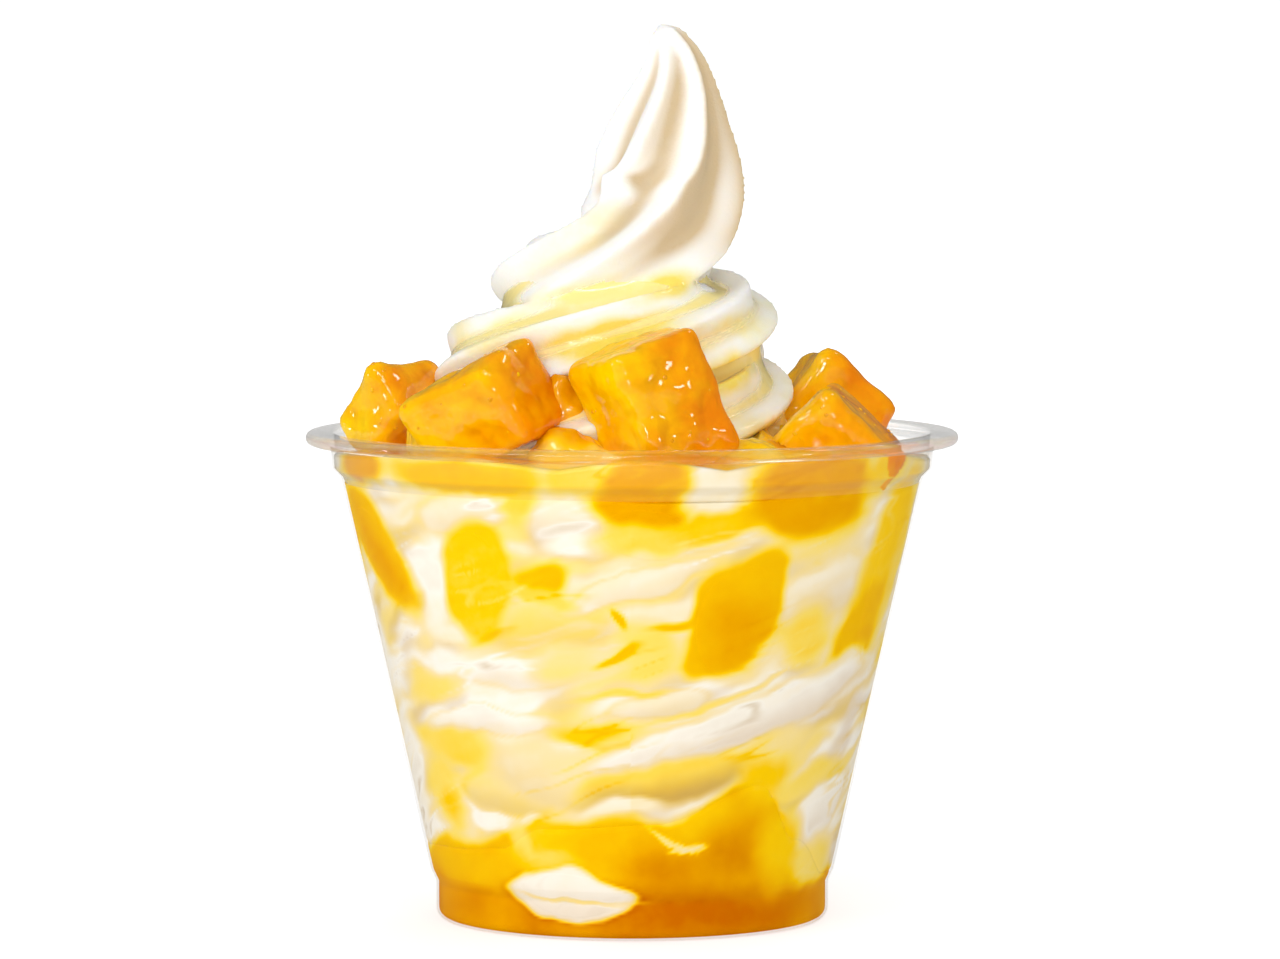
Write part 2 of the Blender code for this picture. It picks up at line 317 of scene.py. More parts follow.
def new_piece(
    name: str, mesh: bpy.types.Mesh, material: bpy.types.Material | None = None
) -> bpy.types.Object:
    """Makes an object of a mesh, at the origin.

    Args:
        name: The piece's name.
        mesh: Its mesh.
        material: Its finish, if it is given here.

    Returns:
        The piece.
    """
    if material:
        coat(mesh, material)
    return new_object(name, mesh)


def tree_of(mesh: bpy.types.Mesh) -> BVHTree:
    """A tree that finds a mesh's faces near a point or along a ray."""
    faces = [tuple(face.vertices) for face in mesh.polygons]
    return BVHTree.FromPolygons([point.co for point in mesh.vertices], faces)


def baked(piece: bpy.types.Object) -> bpy.types.Mesh:
    """Turns a piece's modifiers into its own plain mesh.

    Args:
        piece: The object, whose modifiers are removed.

    Returns:
        The piece's new mesh.
    """
    graph = bpy.context.evaluated_depsgraph_get()
    mesh = bpy.data.meshes.new_from_object(piece.evaluated_get(graph))
    piece.modifiers.clear()
    piece.data = mesh
    return mesh


def remeshed(piece: bpy.types.Object, voxel: float, smoothing: int) -> bpy.types.Mesh:
    """Gives a piece one even skin.

    Args:
        piece: The object, which may be made of shells that cross.
        voxel: The size of the new faces.
        smoothing: How many times the skin is smoothed.

    Returns:
        The piece's new mesh.
    """
    skin = piece.modifiers.new("Skin", "REMESH")
    skin.mode = "VOXEL"
    skin.voxel_size = voxel
    ease = piece.modifiers.new("Ease", "SMOOTH")
    ease.iterations = smoothing
    mesh = baked(piece)
    mesh.shade_smooth()
    return mesh


def settle(piece: bpy.types.Object, slot: str, *nodes: str) -> None:
    """Sets a piece on the part and says which solids it stands for.

    Args:
        piece: The finished piece.
        slot: Not used.
        nodes: The solids that it replaces.
    """
    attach(piece, BODY)
    if nodes:
        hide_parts(*nodes)
    log.info("%s: %d faces, for %s", piece.name, len(piece.data.polygons), ", ".join(nodes) or "no solid")


# Node trees


class Value:
    """A number that a node tree works out. Python arithmetic on it adds Math nodes."""

    def __init__(self, tree: "NodeBuilder", socket: bpy.types.NodeSocket) -> None:
        """Wraps a socket of a node tree."""
        self.tree = tree
        self.socket = socket

    def apply(self, operation: str, *others: "Value | float", clamp: bool = False) -> "Value":
        """Adds a Math node.

        Args:
            operation: The Math node's operation.
            others: The operands that follow this value.
            clamp: Whether the result is kept from 0 to 1.

        Returns:
            The result.
        """
        return self.tree.math(operation, self, *others, clamp=clamp)

    def __add__(self, other: "Value | float") -> "Value":
        """This value plus another."""
        return self.apply("ADD", other)

    def __radd__(self, other: float) -> "Value":
        """A number plus this value."""
        return self.tree.math("ADD", other, self)

    def __sub__(self, other: "Value | float") -> "Value":
        """This value less another."""
        return self.apply("SUBTRACT", other)

    def __rsub__(self, other: float) -> "Value":
        """A number less this value."""
        return self.tree.math("SUBTRACT", other, self)

    def __mul__(self, other: "Value | float") -> "Value":
        """This value times another."""
        return self.apply("MULTIPLY", other)

    def __truediv__(self, other: "Value | float") -> "Value":
        """This value divided by another."""
        return self.apply("DIVIDE", other)

    def __pow__(self, other: "Value | float") -> "Value":
        """This value to a power."""
        return self.apply("POWER", other)

    def held(self) -> "Value":
        """This value kept from 0 to 1."""
        return self.apply("ADD", 0.0, clamp=True)


class NodeBuilder:
    """Adds nodes to a tree, one call each."""

    def __init__(self, tree: bpy.types.NodeTree) -> None:
        """Keeps the tree that the nodes go into."""
        self.tree = tree

    def node(
        self, kind: str, settings: dict[str, Any] | None = None, inputs: dict[Any, Any] | None = None
    ) -> bpy.types.Node:
        """Adds a node.

        Args:
            kind: The node's type.
            settings: The node's own settings, which are set first.
            inputs: Values or links for its sockets, by name or number.

        Returns:
            The node.
        """
        node = self.tree.nodes.new(kind)
        for name, value in (settings or {}).items():
            setattr(node, name, value)
        for key, value in (inputs or {}).items():
            source = value.socket if isinstance(value, Value) else value
            if isinstance(source, bpy.types.NodeSocket):
                self.tree.links.new(source, node.inputs[key])
            else:
                node.inputs[key].default_value = source
        return node

    def math(self, operation: str, *operands: Value | float, clamp: bool = False) -> Value:
        """Adds a Math node.

        Args:
            operation: The Math node's operation.
            operands: Its operands, in order.
            clamp: Whether the result is kept from 0 to 1.

        Returns:
            The result.
        """
        settings = {"operation": operation, "use_clamp": clamp}
        node = self.node("ShaderNodeMath", settings, dict(enumerate(operands)))
        return Value(self, node.outputs[0])


class Graph(NodeBuilder):
    """The node graph of a material or of the world, built by calls."""

    def __init__(
        self, owner: bpy.types.Material | bpy.types.World, output: str = "ShaderNodeOutputMaterial"
    ) -> None:
        """Clears the owner's nodes and gives it an output.

        Args:
            owner: The material or the world.
            output: The output node's type.
        """
        owner.use_nodes = True
        super().__init__(owner.node_tree)
        self.tree.nodes.clear()
        self.output = self.node(output)

    def painted(self, name: str) -> Value:
        """The number that a mesh stores under a name."""
        node = self.node("ShaderNodeAttribute", {"attribute_name": name})
        return Value(self, node.outputs["Fac"])

    def ray(self, kind: str) -> Value:
        """1 for rays of a kind, such as Shadow, and 0 for others."""
        return Value(self, self.node("ShaderNodeLightPath").outputs[f"Is {kind} Ray"])

    def seen(self) -> Value:
        """0 for shadow and diffuse rays, which pass as if the piece weren't there, and 1 for others."""
        return 1 - self.ray("Shadow").apply("MAXIMUM", self.ray("Diffuse"))

    def place(self, stretch: Point = EVEN_SCALE) -> bpy.types.NodeSocket:
        """The point on the piece, with its axes stretched."""
        source = self.node("ShaderNodeTexCoord").outputs["Object"]
        return self.node("ShaderNodeMapping", inputs={"Vector": source, "Scale": stretch}).outputs["Vector"]

    def noise(self, size: float, detail: float = 3.0, stretch: Point = EVEN_SCALE) -> Value:
        """Noise from 0 to 1.

        Args:
            size: The noise's feature size in metres.
            detail: How many finer layers it has.
            stretch: How its axes are stretched.

        Returns:
            The noise.
        """
        inputs = {"Vector": self.place(stretch), "Scale": 1 / size, "Detail": detail}
        return Value(self, self.node("ShaderNodeTexNoise", inputs=inputs).outputs["Fac"])

    def ramp(self, value: Value, stops: Sequence[tuple[float, Colour]]) -> bpy.types.NodeSocket:
        """A colour that follows a value along a ramp.

        Args:
            value: The number that picks the colour.
            stops: The ramp's places and their colours.

        Returns:
            The colour.
        """
        node = self.node("ShaderNodeValToRGB", inputs={"Fac": value})
        elements = node.color_ramp.elements
        elements.remove(elements[-1])
        elements[0].position, elements[0].color = stops[0]
        for place, colour in stops[1:]:
            elements.new(place).color = colour
        return node.outputs["Color"]

    def mix(self, share: Value | float, one: Any, other: Any) -> bpy.types.NodeSocket:
        """Mixes two colours, one where the share is 0 and the other where it is 1."""
        return self.node("ShaderNodeMix", {"data_type": "RGBA"}, {0: share, 6: one, 7: other}).outputs[2]

    def bump(self, height: Value, strength: float, distance: float) -> bpy.types.NodeSocket:
        """A normal from a height."""
        inputs = {"Height": height, "Strength": strength, "Distance": distance}
        return self.node("ShaderNodeBump", inputs=inputs).outputs["Normal"]

    def principled(self, **inputs: Any) -> bpy.types.Node:
        """A Principled shader, with its sockets named by words joined with underscores."""
        named = {key.replace("_", " "): value for key, value in inputs.items()}
        return self.node("ShaderNodeBsdfPrincipled", inputs=named)

    def finish(self, shader: bpy.types.Node) -> None:
        """Links a shader to the output."""
        self.tree.links.new(shader.outputs[0], self.output.inputs["Surface"])


class GeometryTree(NodeBuilder):
    """A Geometry Nodes tree that takes a mesh and gives a dressed one, built by calls."""

    def __init__(self, name: str, inputs: dict[str, str]) -> None:
        """Makes the tree with a geometry input and named inputs for its sizes.

        Args:
            name: The tree's name.
            inputs: The kind of number, such as Float, of each input.
        """
        super().__init__(bpy.data.node_groups.new(name, "GeometryNodeTree"))
        face = self.tree.interface
        face.new_socket("Mesh", in_out="INPUT", socket_type="NodeSocketGeometry")
        for label, kind in inputs.items():
            face.new_socket(label, in_out="INPUT", socket_type=f"NodeSocket{kind}")
        face.new_socket("Result", in_out="OUTPUT", socket_type="NodeSocketGeometry")
        self.start = self.node("NodeGroupInput")
        self.end = self.node("NodeGroupOutput")

    def given(self, name: str) -> Value:
        """One of the tree's inputs."""
        return Value(self, self.start.outputs[name])

    def stored(self, name: str, kind: str, index: Value) -> Value:
        """Reads what the given mesh stores at its points.

        Args:
            name: The name that it is stored under.
            kind: Its kind, FLOAT or FLOAT_VECTOR.
            index: Which point is read.

        Returns:
            The number or vector there.
        """
        read = self.node("GeometryNodeInputNamedAttribute", {"data_type": kind}, {"Name": name})
        node = self.node("GeometryNodeSampleIndex", {"data_type": kind, "domain": "POINT"}, {
            "Geometry": self.given("Mesh"), "Value": read.outputs["Attribute"], "Index": index,
        })
        return Value(self, node.outputs[0])

    def sum_of(self, one: Any, other: Any) -> bpy.types.NodeSocket:
        """The sum of two vectors."""
        return self.node("ShaderNodeVectorMath", {"operation": "ADD"}, {0: one, 1: other}).outputs[0]

    def scaled(self, one: Any, factor: Any) -> bpy.types.NodeSocket:
        """A vector times a number."""
        return self.node("ShaderNodeVectorMath", {"operation": "SCALE"}, {0: one, "Scale": factor}).outputs[0]

    def finish(self, geometry: bpy.types.NodeSocket, material: bpy.types.Material) -> None:
        """Realizes the instances, sets the material and links the result."""
        real = self.node("GeometryNodeRealizeInstances", inputs={"Geometry": geometry})
        dressed = {"Geometry": real.outputs[0], "Material": material}
        last = self.node("GeometryNodeSetMaterial", inputs=dressed)
        self.tree.links.new(last.outputs[0], self.end.inputs["Result"])

    def apply(self, piece: bpy.types.Object, values: dict[str, Any]) -> bpy.types.Mesh:
        """Runs the tree on a piece.

        Args:
            piece: The object, whose mesh becomes the result.
            values: Values for the tree's inputs, by name.

        Returns:
            The piece's new mesh.
        """
        run = piece.modifiers.new(self.tree.name, "NODES")
        run.node_group = self.tree
        for item in self.tree.interface.items_tree:
            if item.in_out == "INPUT" and item.name in values:
                run[item.identifier] = values[item.name]
        return baked(piece)


# Finishes


def srgb(*shown: int) -> Colour:
    """A display colour, red, green and blue from 0 to 255, as a linear one with full cover."""
    linear = (((c / 255 + 0.055) / 1.055) ** 2.4 if c > 10 else c / 255 / 12.92 for c in shown)
    return (*linear, 1.0)


class Tone(Enum):
    """How much mango sauce colours the contents, from bare yogurt to deep sauce; SHADED, below bare yogurt,
    is painted shade.
    """

    SHADED = -0.12
    WHITE = 0.0
    MILKY = 0.1
    CREAM = 0.2
    BLUSH = 0.32
    PALE = 0.44
    BUTTER = 0.52
    YELLOW = 0.62
    GOLD = 0.7
    ORANGE = 0.8
    AMBER = 0.9
    DEEP = 1.0


TONE_LOW = -0.2
TONE_STOPS = [
    # The lowest stop is the colour of painted shade.
    (-0.2, srgb(222, 206, 180)),
    (0.0, srgb(251, 245, 233)),
    (0.2, srgb(247, 226, 172)),
    (0.44, srgb(252, 222, 104)),
    (0.62, srgb(253, 205, 6)),
    (0.8, srgb(238, 166, 0)),
    (1.0, srgb(204, 106, 0)),
]
# The colour of painted shade, mixed in by the painted 'dim' amount.
SHADE = srgb(190, 146, 84)


@dataclass(frozen=True)
class Finish:
    """The finish of a surface: one material, made from its fields."""

    name: str

    def make(self) -> bpy.types.Material:
        """Makes the material."""
        material = bpy.data.materials.new(self.name)
        graph = Graph(material)
        graph.finish(self.shader(graph))
        return material

    def shader(self, graph: Graph) -> bpy.types.Node:
        """Builds the finish's shader in a graph."""
        raise NotImplementedError


@dataclass(frozen=True)
class MarbledFinish(Finish):
    """Yogurt and sauce in each other, whose colour follows the painted amount of sauce, darkened by painted
    shade from the painted 'dim' amount.

    Gloss is its specular level, coat is the weight of the wet layer over it, and mottle is how much
    fine noise changes the amount of sauce.
    """

    roughness: float
    gloss: float
    coat: float = 0.0
    mottle: float = 0.05

    def shader(self, graph: Graph) -> bpy.types.Node:
        """Builds the finish's shader in a graph."""
        amount = graph.painted("sauce") + (graph.noise(1.6 * MM, 4.0) - 0.5) * self.mottle
        share = ((amount - TONE_LOW) / (1 - TONE_LOW)).held()
        stops = [((place - TONE_LOW) / (1 - TONE_LOW), colour) for place, colour in TONE_STOPS]
        return graph.principled(
            # Painted shade: the 'dim' amount mixes the colour towards SHADE.
            Base_Color=graph.mix(graph.painted("dim"), graph.ramp(share, stops), SHADE),
            Roughness=self.roughness,
            IOR=1.4,
            Specular_IOR_Level=self.gloss,
            Coat_Weight=self.coat,
            Coat_Roughness=0.06,
        )


@dataclass(frozen=True)
class SwirlFinish(Finish):
    """Smooth white frozen yogurt with painted shade, warmer and darker in its hollows and on the peak's right
    side, with syrup run into it in places.
    """

    name: str = "Frozen yogurt"
    crest: Colour = srgb(252, 250, 245)
    # The colour of painted shade in the valleys and on the peak's right side.
    hollow: Colour = srgb(216, 193, 154)
    pale: Colour = srgb(253, 232, 140)
    rich: Colour = srgb(253, 212, 30)
    glow: float = 2.6 * MM

    def shader(self, graph: Graph) -> bpy.types.Node:
        """Builds the finish's shader in a graph."""
        streaks = graph.noise(2.5 * MM, 3.0)
        sauce = (graph.painted("sauce") * (streaks * 0.8 + 0.6)).held()
        # Painted shade: the painted 'hollow' amount mixes the crest white towards the shade colour.
        bare = graph.mix(graph.painted("hollow").held(), self.crest, self.hollow)
        syrup = graph.mix(sauce, self.pale, self.rich)
        icy = graph.noise(0.45 * MM, 3.0)
        return graph.principled(
            Base_Color=graph.mix((sauce * 2.2).held(), bare, syrup),
            Roughness=0.38,
            IOR=1.4,
            Specular_IOR_Level=0.25,
            Subsurface_Weight=0.6,
            Subsurface_Radius=(1.0, 0.8, 0.55),
            Subsurface_Scale=self.glow,
            Coat_Weight=(0.12 + sauce * 0.6).held(),
            Coat_Roughness=0.06,
            Normal=graph.bump(icy, 0.35, 0.2 * MM),
        )


@dataclass(frozen=True)
class MangoFinish(Finish):
    """Ripe mango flesh under a clear glaze, painted lighter where light shines through thin fruit and painted
    darker orange as shade towards its right side.
    """

    name: str = "Glazed mango"
    thin: Colour = srgb(255, 216, 0)
    middle: Colour = srgb(253, 186, 0)
    thick: Colour = srgb(238, 136, 0)
    glow: float = 1.2 * MM

    def shader(self, graph: Graph) -> bpy.types.Node:
        """Builds the finish's shader in a graph."""
        cloudy = graph.noise(8.0 * MM, 2.5)
        fibres = graph.noise(1.6 * MM, 4.0, (1.0, 0.35, 1.0))
        # The painted 'depth' carries painted light through thin fruit and painted shade on the right side;
        # the noise is the fruit's own cloudiness and fibres.
        share = (graph.painted("depth") + (cloudy - 0.5) * 1.3 + (fibres - 0.5) * 0.22).held()
        return graph.principled(
            Base_Color=graph.ramp(share, [(0.0, self.thin), (0.5, self.middle), (1.0, self.thick)]),
            Roughness=0.4,
            Specular_IOR_Level=0.0,
            Subsurface_Weight=0.2,
            Subsurface_Radius=(1.0, 0.7, 0.1),
            Subsurface_Scale=self.glow,
            Coat_Weight=0.9,
            Coat_Roughness=0.02,
            Normal=graph.bump(graph.noise(4.4 * MM, 1.6), 0.8, 2.4 * MM),
        )


@dataclass(frozen=True)
class SyrupFinish(Finish):
    """Thin mango syrup, more see-through where it is thinner."""

    name: str = "Mango syrup"
    pale: Colour = srgb(255, 249, 214)
    rich: Colour = srgb(255, 236, 150)
    most: float = 0.96

    def shader(self, graph: Graph) -> bpy.types.Node:
        """Builds the finish's shader in a graph."""
        thickness = graph.painted("thickness")
        swirls = graph.noise(2.4 * MM, 3.0)
        return graph.principled(
            Base_Color=graph.mix((thickness * (swirls + 0.5)).held(), self.pale, self.rich),
            Roughness=0.1,
            IOR=1.42,
            Alpha=(thickness * graph.seen() * self.most).held(),
            Coat_Weight=0.5,
            Coat_Roughness=0.02,
            Normal=graph.bump(swirls, 0.2, 0.4 * MM),
        )


@dataclass(frozen=True)
class ClearPlastic(Finish):
    """Thin clear moulded plastic, which shows at the rim, where it is thick, and where it is seen aslant."""

    name: str = "Clear plastic"
    tint: Colour = (0.995, 0.99, 0.98, 1.0)
    thick_share: float = 0.44
    thin_share: float = 0.3
    blend: float = 0.2

    def shader(self, graph: Graph) -> bpy.types.Node:
        """Builds the finish's shader in a graph."""
        glass = graph.principled(
            Base_Color=self.tint,
            Roughness=0.01,
            IOR=1.46,
            Transmission_Weight=1.0,
            Coat_Weight=0.5,
            Coat_IOR=1.6,
            Coat_Roughness=0.03,
        )
        clear = graph.node("ShaderNodeBsdfTransparent", inputs={"Color": self.tint})
        slant = graph.node("ShaderNodeLayerWeight", inputs={"Blend": self.blend})
        thick = graph.painted("thick")
        thin = Value(graph, slant.outputs["Facing"]) * self.thin_share
        share = (thick * self.thick_share + (1 - thick) * thin) * graph.seen()
        shaders = {0: share.held(), 1: clear.outputs[0], 2: glass.outputs[0]}
        return graph.node("ShaderNodeMixShader", inputs=shaders)


@dataclass(frozen=True)
class StudioFloor(Finish):
    """A pale matt floor, which glows white far off, glows less near the cup as a painted shadow round it, and
    is dimmer to the light that it sends to the cup.
    """

    name: str = "Pale floor"
    colour: Colour = (0.4, 0.4, 0.4, 1.0)
    near: float = 0.69
    reach: float = 0.25
    diffused: float = 0.5
    mirrored: float = 0.1

    def shader(self, graph: Graph) -> bpy.types.Node:
        """Builds the finish's shader in a graph."""
        away = graph.node("ShaderNodeVectorMath", {"operation": "LENGTH"}, {0: graph.place()})
        far = Value(graph, away.outputs["Value"]) / self.reach
        diffuse = graph.ray("Diffuse") * (1 - self.diffused)
        glossy = graph.ray("Glossy") * graph.ray("Reflection") * (1 - self.mirrored)
        # Painted shadow: the glow is lowest at the cup and rises to full a reach away.
        shown = (self.near + far * (1 - self.near)).held() * (1 - diffuse - glossy)
        glow = graph.ramp(shown, [(0.0, (0.0, 0.0, 0.0, 1.0)), (1.0, (1.0, 1.0, 1.0, 1.0))])
        return graph.principled(
            Base_Color=self.colour, Roughness=0.9, Emission_Color=glow, Emission_Strength=1.0
        )


# The cup


@dataclass
class CupShell:
    """The clear cup: a tapered wall with a foot below and a collar and rolled rim above."""

    wall: float = 0.5 * MM
    rim_radius: float = 46.0 * MM
    rim_height: float = 68.95 * MM
    bead: float = 1.8 * MM
    collar_radius: float = 42.5 * MM
    collar_base: tuple[float, float] = (42.3 * MM, 63.8 * MM)
    shoulder: tuple[float, float] = (41.1 * MM, 62.6 * MM)
    heel: tuple[float, float] = (28.5 * MM, 7.0 * MM)
    foot: tuple[float, float] = (27.7 * MM, 5.3 * MM)
    foot_round: float = 1.5 * MM
    standing_ring: float = 2.0 * MM
    recess: float = 1.4 * MM
    softness: float = 0.35 * MM
    segments: int = 192
    weld: float = 0.005 * MM
    thick_from: tuple[float, float] = (65.5 * MM, 67.5 * MM)

    def outer_line(self) -> Line:
        """The wall's outer side from under the rim down to the foot."""
        top = (self.collar_radius, self.rim_height - self.bead)
        return [top, self.collar_base, self.shoulder, self.heel, self.foot]

    def inner_line(self, press: float = 0.0) -> Line:
        """The inside, from the axis out along the floor and up the wall.

        Args:
            press: How far into the plastic the line lies.

        Returns:
            Radius and height pairs.
        """
        ring_radius = self.foot[0] - self.foot_round - self.standing_ring
        bend = (self.foot[0] - self.foot_round, self.foot_round)
        floor = self.recess + self.wall - press
        wall = [(r - self.wall + press, z) for r, z in reversed(self.outer_line())]
        return [
            (0.0, floor),
            (ring_radius - 2 * self.wall, floor),
            (ring_radius, self.wall - press),
            *arc(bend, self.foot_round - self.wall + press, -90, 0, 5),
            *wall,
        ]

    def inside(self, height: np.ndarray | float) -> np.ndarray:
        """The inside's radius at heights above the foot."""
        line = [(z, r - self.wall) for r, z in reversed(self.outer_line())]
        heights, radii = zip(*line)
        return np.interp(height, heights, radii)

    def profile(self) -> Line:
        """The section, from the axis up the inside, over the rolled rim and down the outside."""
        bead = self.bead / 2
        bend = (self.foot[0] - self.foot_round, self.foot_round)
        ring_radius = self.foot[0] - self.foot_round - self.standing_ring
        lip = (self.collar_radius - self.wall, self.rim_height - bead)
        crown = (lip[0] + self.wall / 4, self.rim_height)
        inside = softened([*self.inner_line()[:-1], lip], self.softness)
        over = softened([lip, crown, (self.rim_radius - bead, self.rim_height)], self.softness)
        rolled = arc((self.rim_radius - bead, self.rim_height - bead), bead, 90, -90, 16)
        below = softened([rolled[-1], *self.outer_line(), (self.foot[0], self.foot_round)], self.softness)
        under = [
            *arc(bend, self.foot_round, 0, -90, 8)[1:],
            (ring_radius, 0.0),
            (ring_radius - 2 * self.wall, self.recess),
            (0.0, self.recess),
        ]
        return [*inside, *over[1:], *rolled[1:-1], *below, *under]

    def build(self, finish: ClearPlastic) -> bpy.types.Object:
        """Turns the profile round the axis.

        Args:
            finish: The plastic.

        Returns:
            The cup.
        """
        mesh = bpy.data.meshes.new("clear_cup")
        line = [(r, 0.0, z) for r, z in self.profile()]
        mesh.from_pydata(line, [(i, i + 1) for i in range(len(line) - 1)], [])
        cup = new_piece("clear_cup", mesh)
        turn = cup.modifiers.new("Turn", "SCREW")
        turn.steps = self.segments
        turn.render_steps = self.segments
        turn.use_merge_vertices = True
        turn.merge_threshold = self.weld
        solid = turned_out(baked(cup), 0.8 * self.weld)
        paint(solid, "thick", smoothstep(*self.thick_from, points_of(solid)[:, 2]))
        coat(solid, finish.make())
        settle(cup, "cup", "cup")
        return cup


# How yogurt and sauce lie against the wall


OUTLINE_WIDTH = 0.13
UNLIT_SIDE = (0.6, -0.8)


@dataclass(frozen=True)
class Wash:
    """A soft-edged patch of yogurt or sauce against the wall.

    Angle in degrees, height and half sizes in mm, and tilt in degrees, where a positive tilt rises to
    the right seen from outside. Edge is the soft share of its size, and power is 2 for an ellipse, more
    for a squarer patch and less for a pointed one. Shade is how much its lower side is in
    shade, lean slants it, and outline draws a thin richer line round it.
    """

    angle: float
    height: float
    half_width: float
    half_height: float
    tilt: float
    tone: Tone
    edge: float = 0.28
    power: float = 2.0
    shade: float = 0.0
    lean: float = 0.0
    outline: float = 0.0

    def spread(
        self, angles: np.ndarray, heights: np.ndarray, radius: float
    ) -> tuple[np.ndarray, np.ndarray]:
        """Where points of the wall lie in the patch.

        Args:
            angles: Angles in degrees.
            heights: Heights in mm.
            radius: The wall's radius at the patch, in mm.

        Returns:
            Distances from its middle, 1 at its edge, and places across its height, from -1 to 1.
        """
        across = np.radians((angles - self.angle + 180) % 360 - 180) * radius
        up = heights - self.height
        turn = math.radians(self.tilt)
        u = (across * math.cos(turn) + up * math.sin(turn)) / self.half_width
        v = (up * math.cos(turn) - across * math.sin(turn)) / self.half_height
        u = u - v * self.half_height / self.half_width * math.tan(math.radians(self.lean))
        return (np.abs(u) ** self.power + np.abs(v) ** self.power) ** (1 / self.power), v

    def laid_over(
        self, level: np.ndarray, dim: np.ndarray, angles: np.ndarray, heights: np.ndarray, radius: float
    ) -> tuple[np.ndarray, np.ndarray]:
        """Lays the patch over the amounts of sauce and of shade at points of the wall.

        Args:
            level: The amounts of sauce so far.
            dim: The amounts of shade so far.
            angles: Angles in degrees.
            heights: Heights in mm.
            radius: The wall's radius at the patch, in mm.

        Returns:
            The new amounts of sauce and of shade.
        """
        distance, across = self.spread(angles, heights, radius)
        share = smoothstep(1 + self.edge, 1 - self.edge, distance)
        line = self.outline * np.exp(-(((distance - 1.0) / OUTLINE_WIDTH) ** 2))
        level = level * (1 - share) + self.tone.value * share + line
        return level, dim * (1 - share) + self.shade * smoothstep(*UNLIT_SIDE, across) * share


SWIRL_WASHES = [
    Wash(290, 90.2, 5.0, 1.7, 14, Tone.PALE, 0.6),
    Wash(242, 88.6, 5.5, 1.3, 16, Tone.CREAM, 0.7),
    Wash(238, 97.0, 6.0, 2.4, 32, Tone.CREAM, 0.8),
    Wash(214, 83.0, 6.0, 1.6, 22, Tone.BLUSH, 0.7),
    Wash(264, 83.4, 6.5, 1.9, 16, Tone.YELLOW, 0.6),
    Wash(228, 95.5, 5.0, 1.8, 28, Tone.MILKY, 0.8),
    Wash(318, 84.5, 4.5, 1.5, 10, Tone.BLUSH, 0.7),
    Wash(333, 79.5, 6.0, 1.8, 6, Tone.BLUSH, 0.6),
    Wash(302, 77.5, 6.0, 2.2, 8, Tone.BUTTER, 0.6),
]

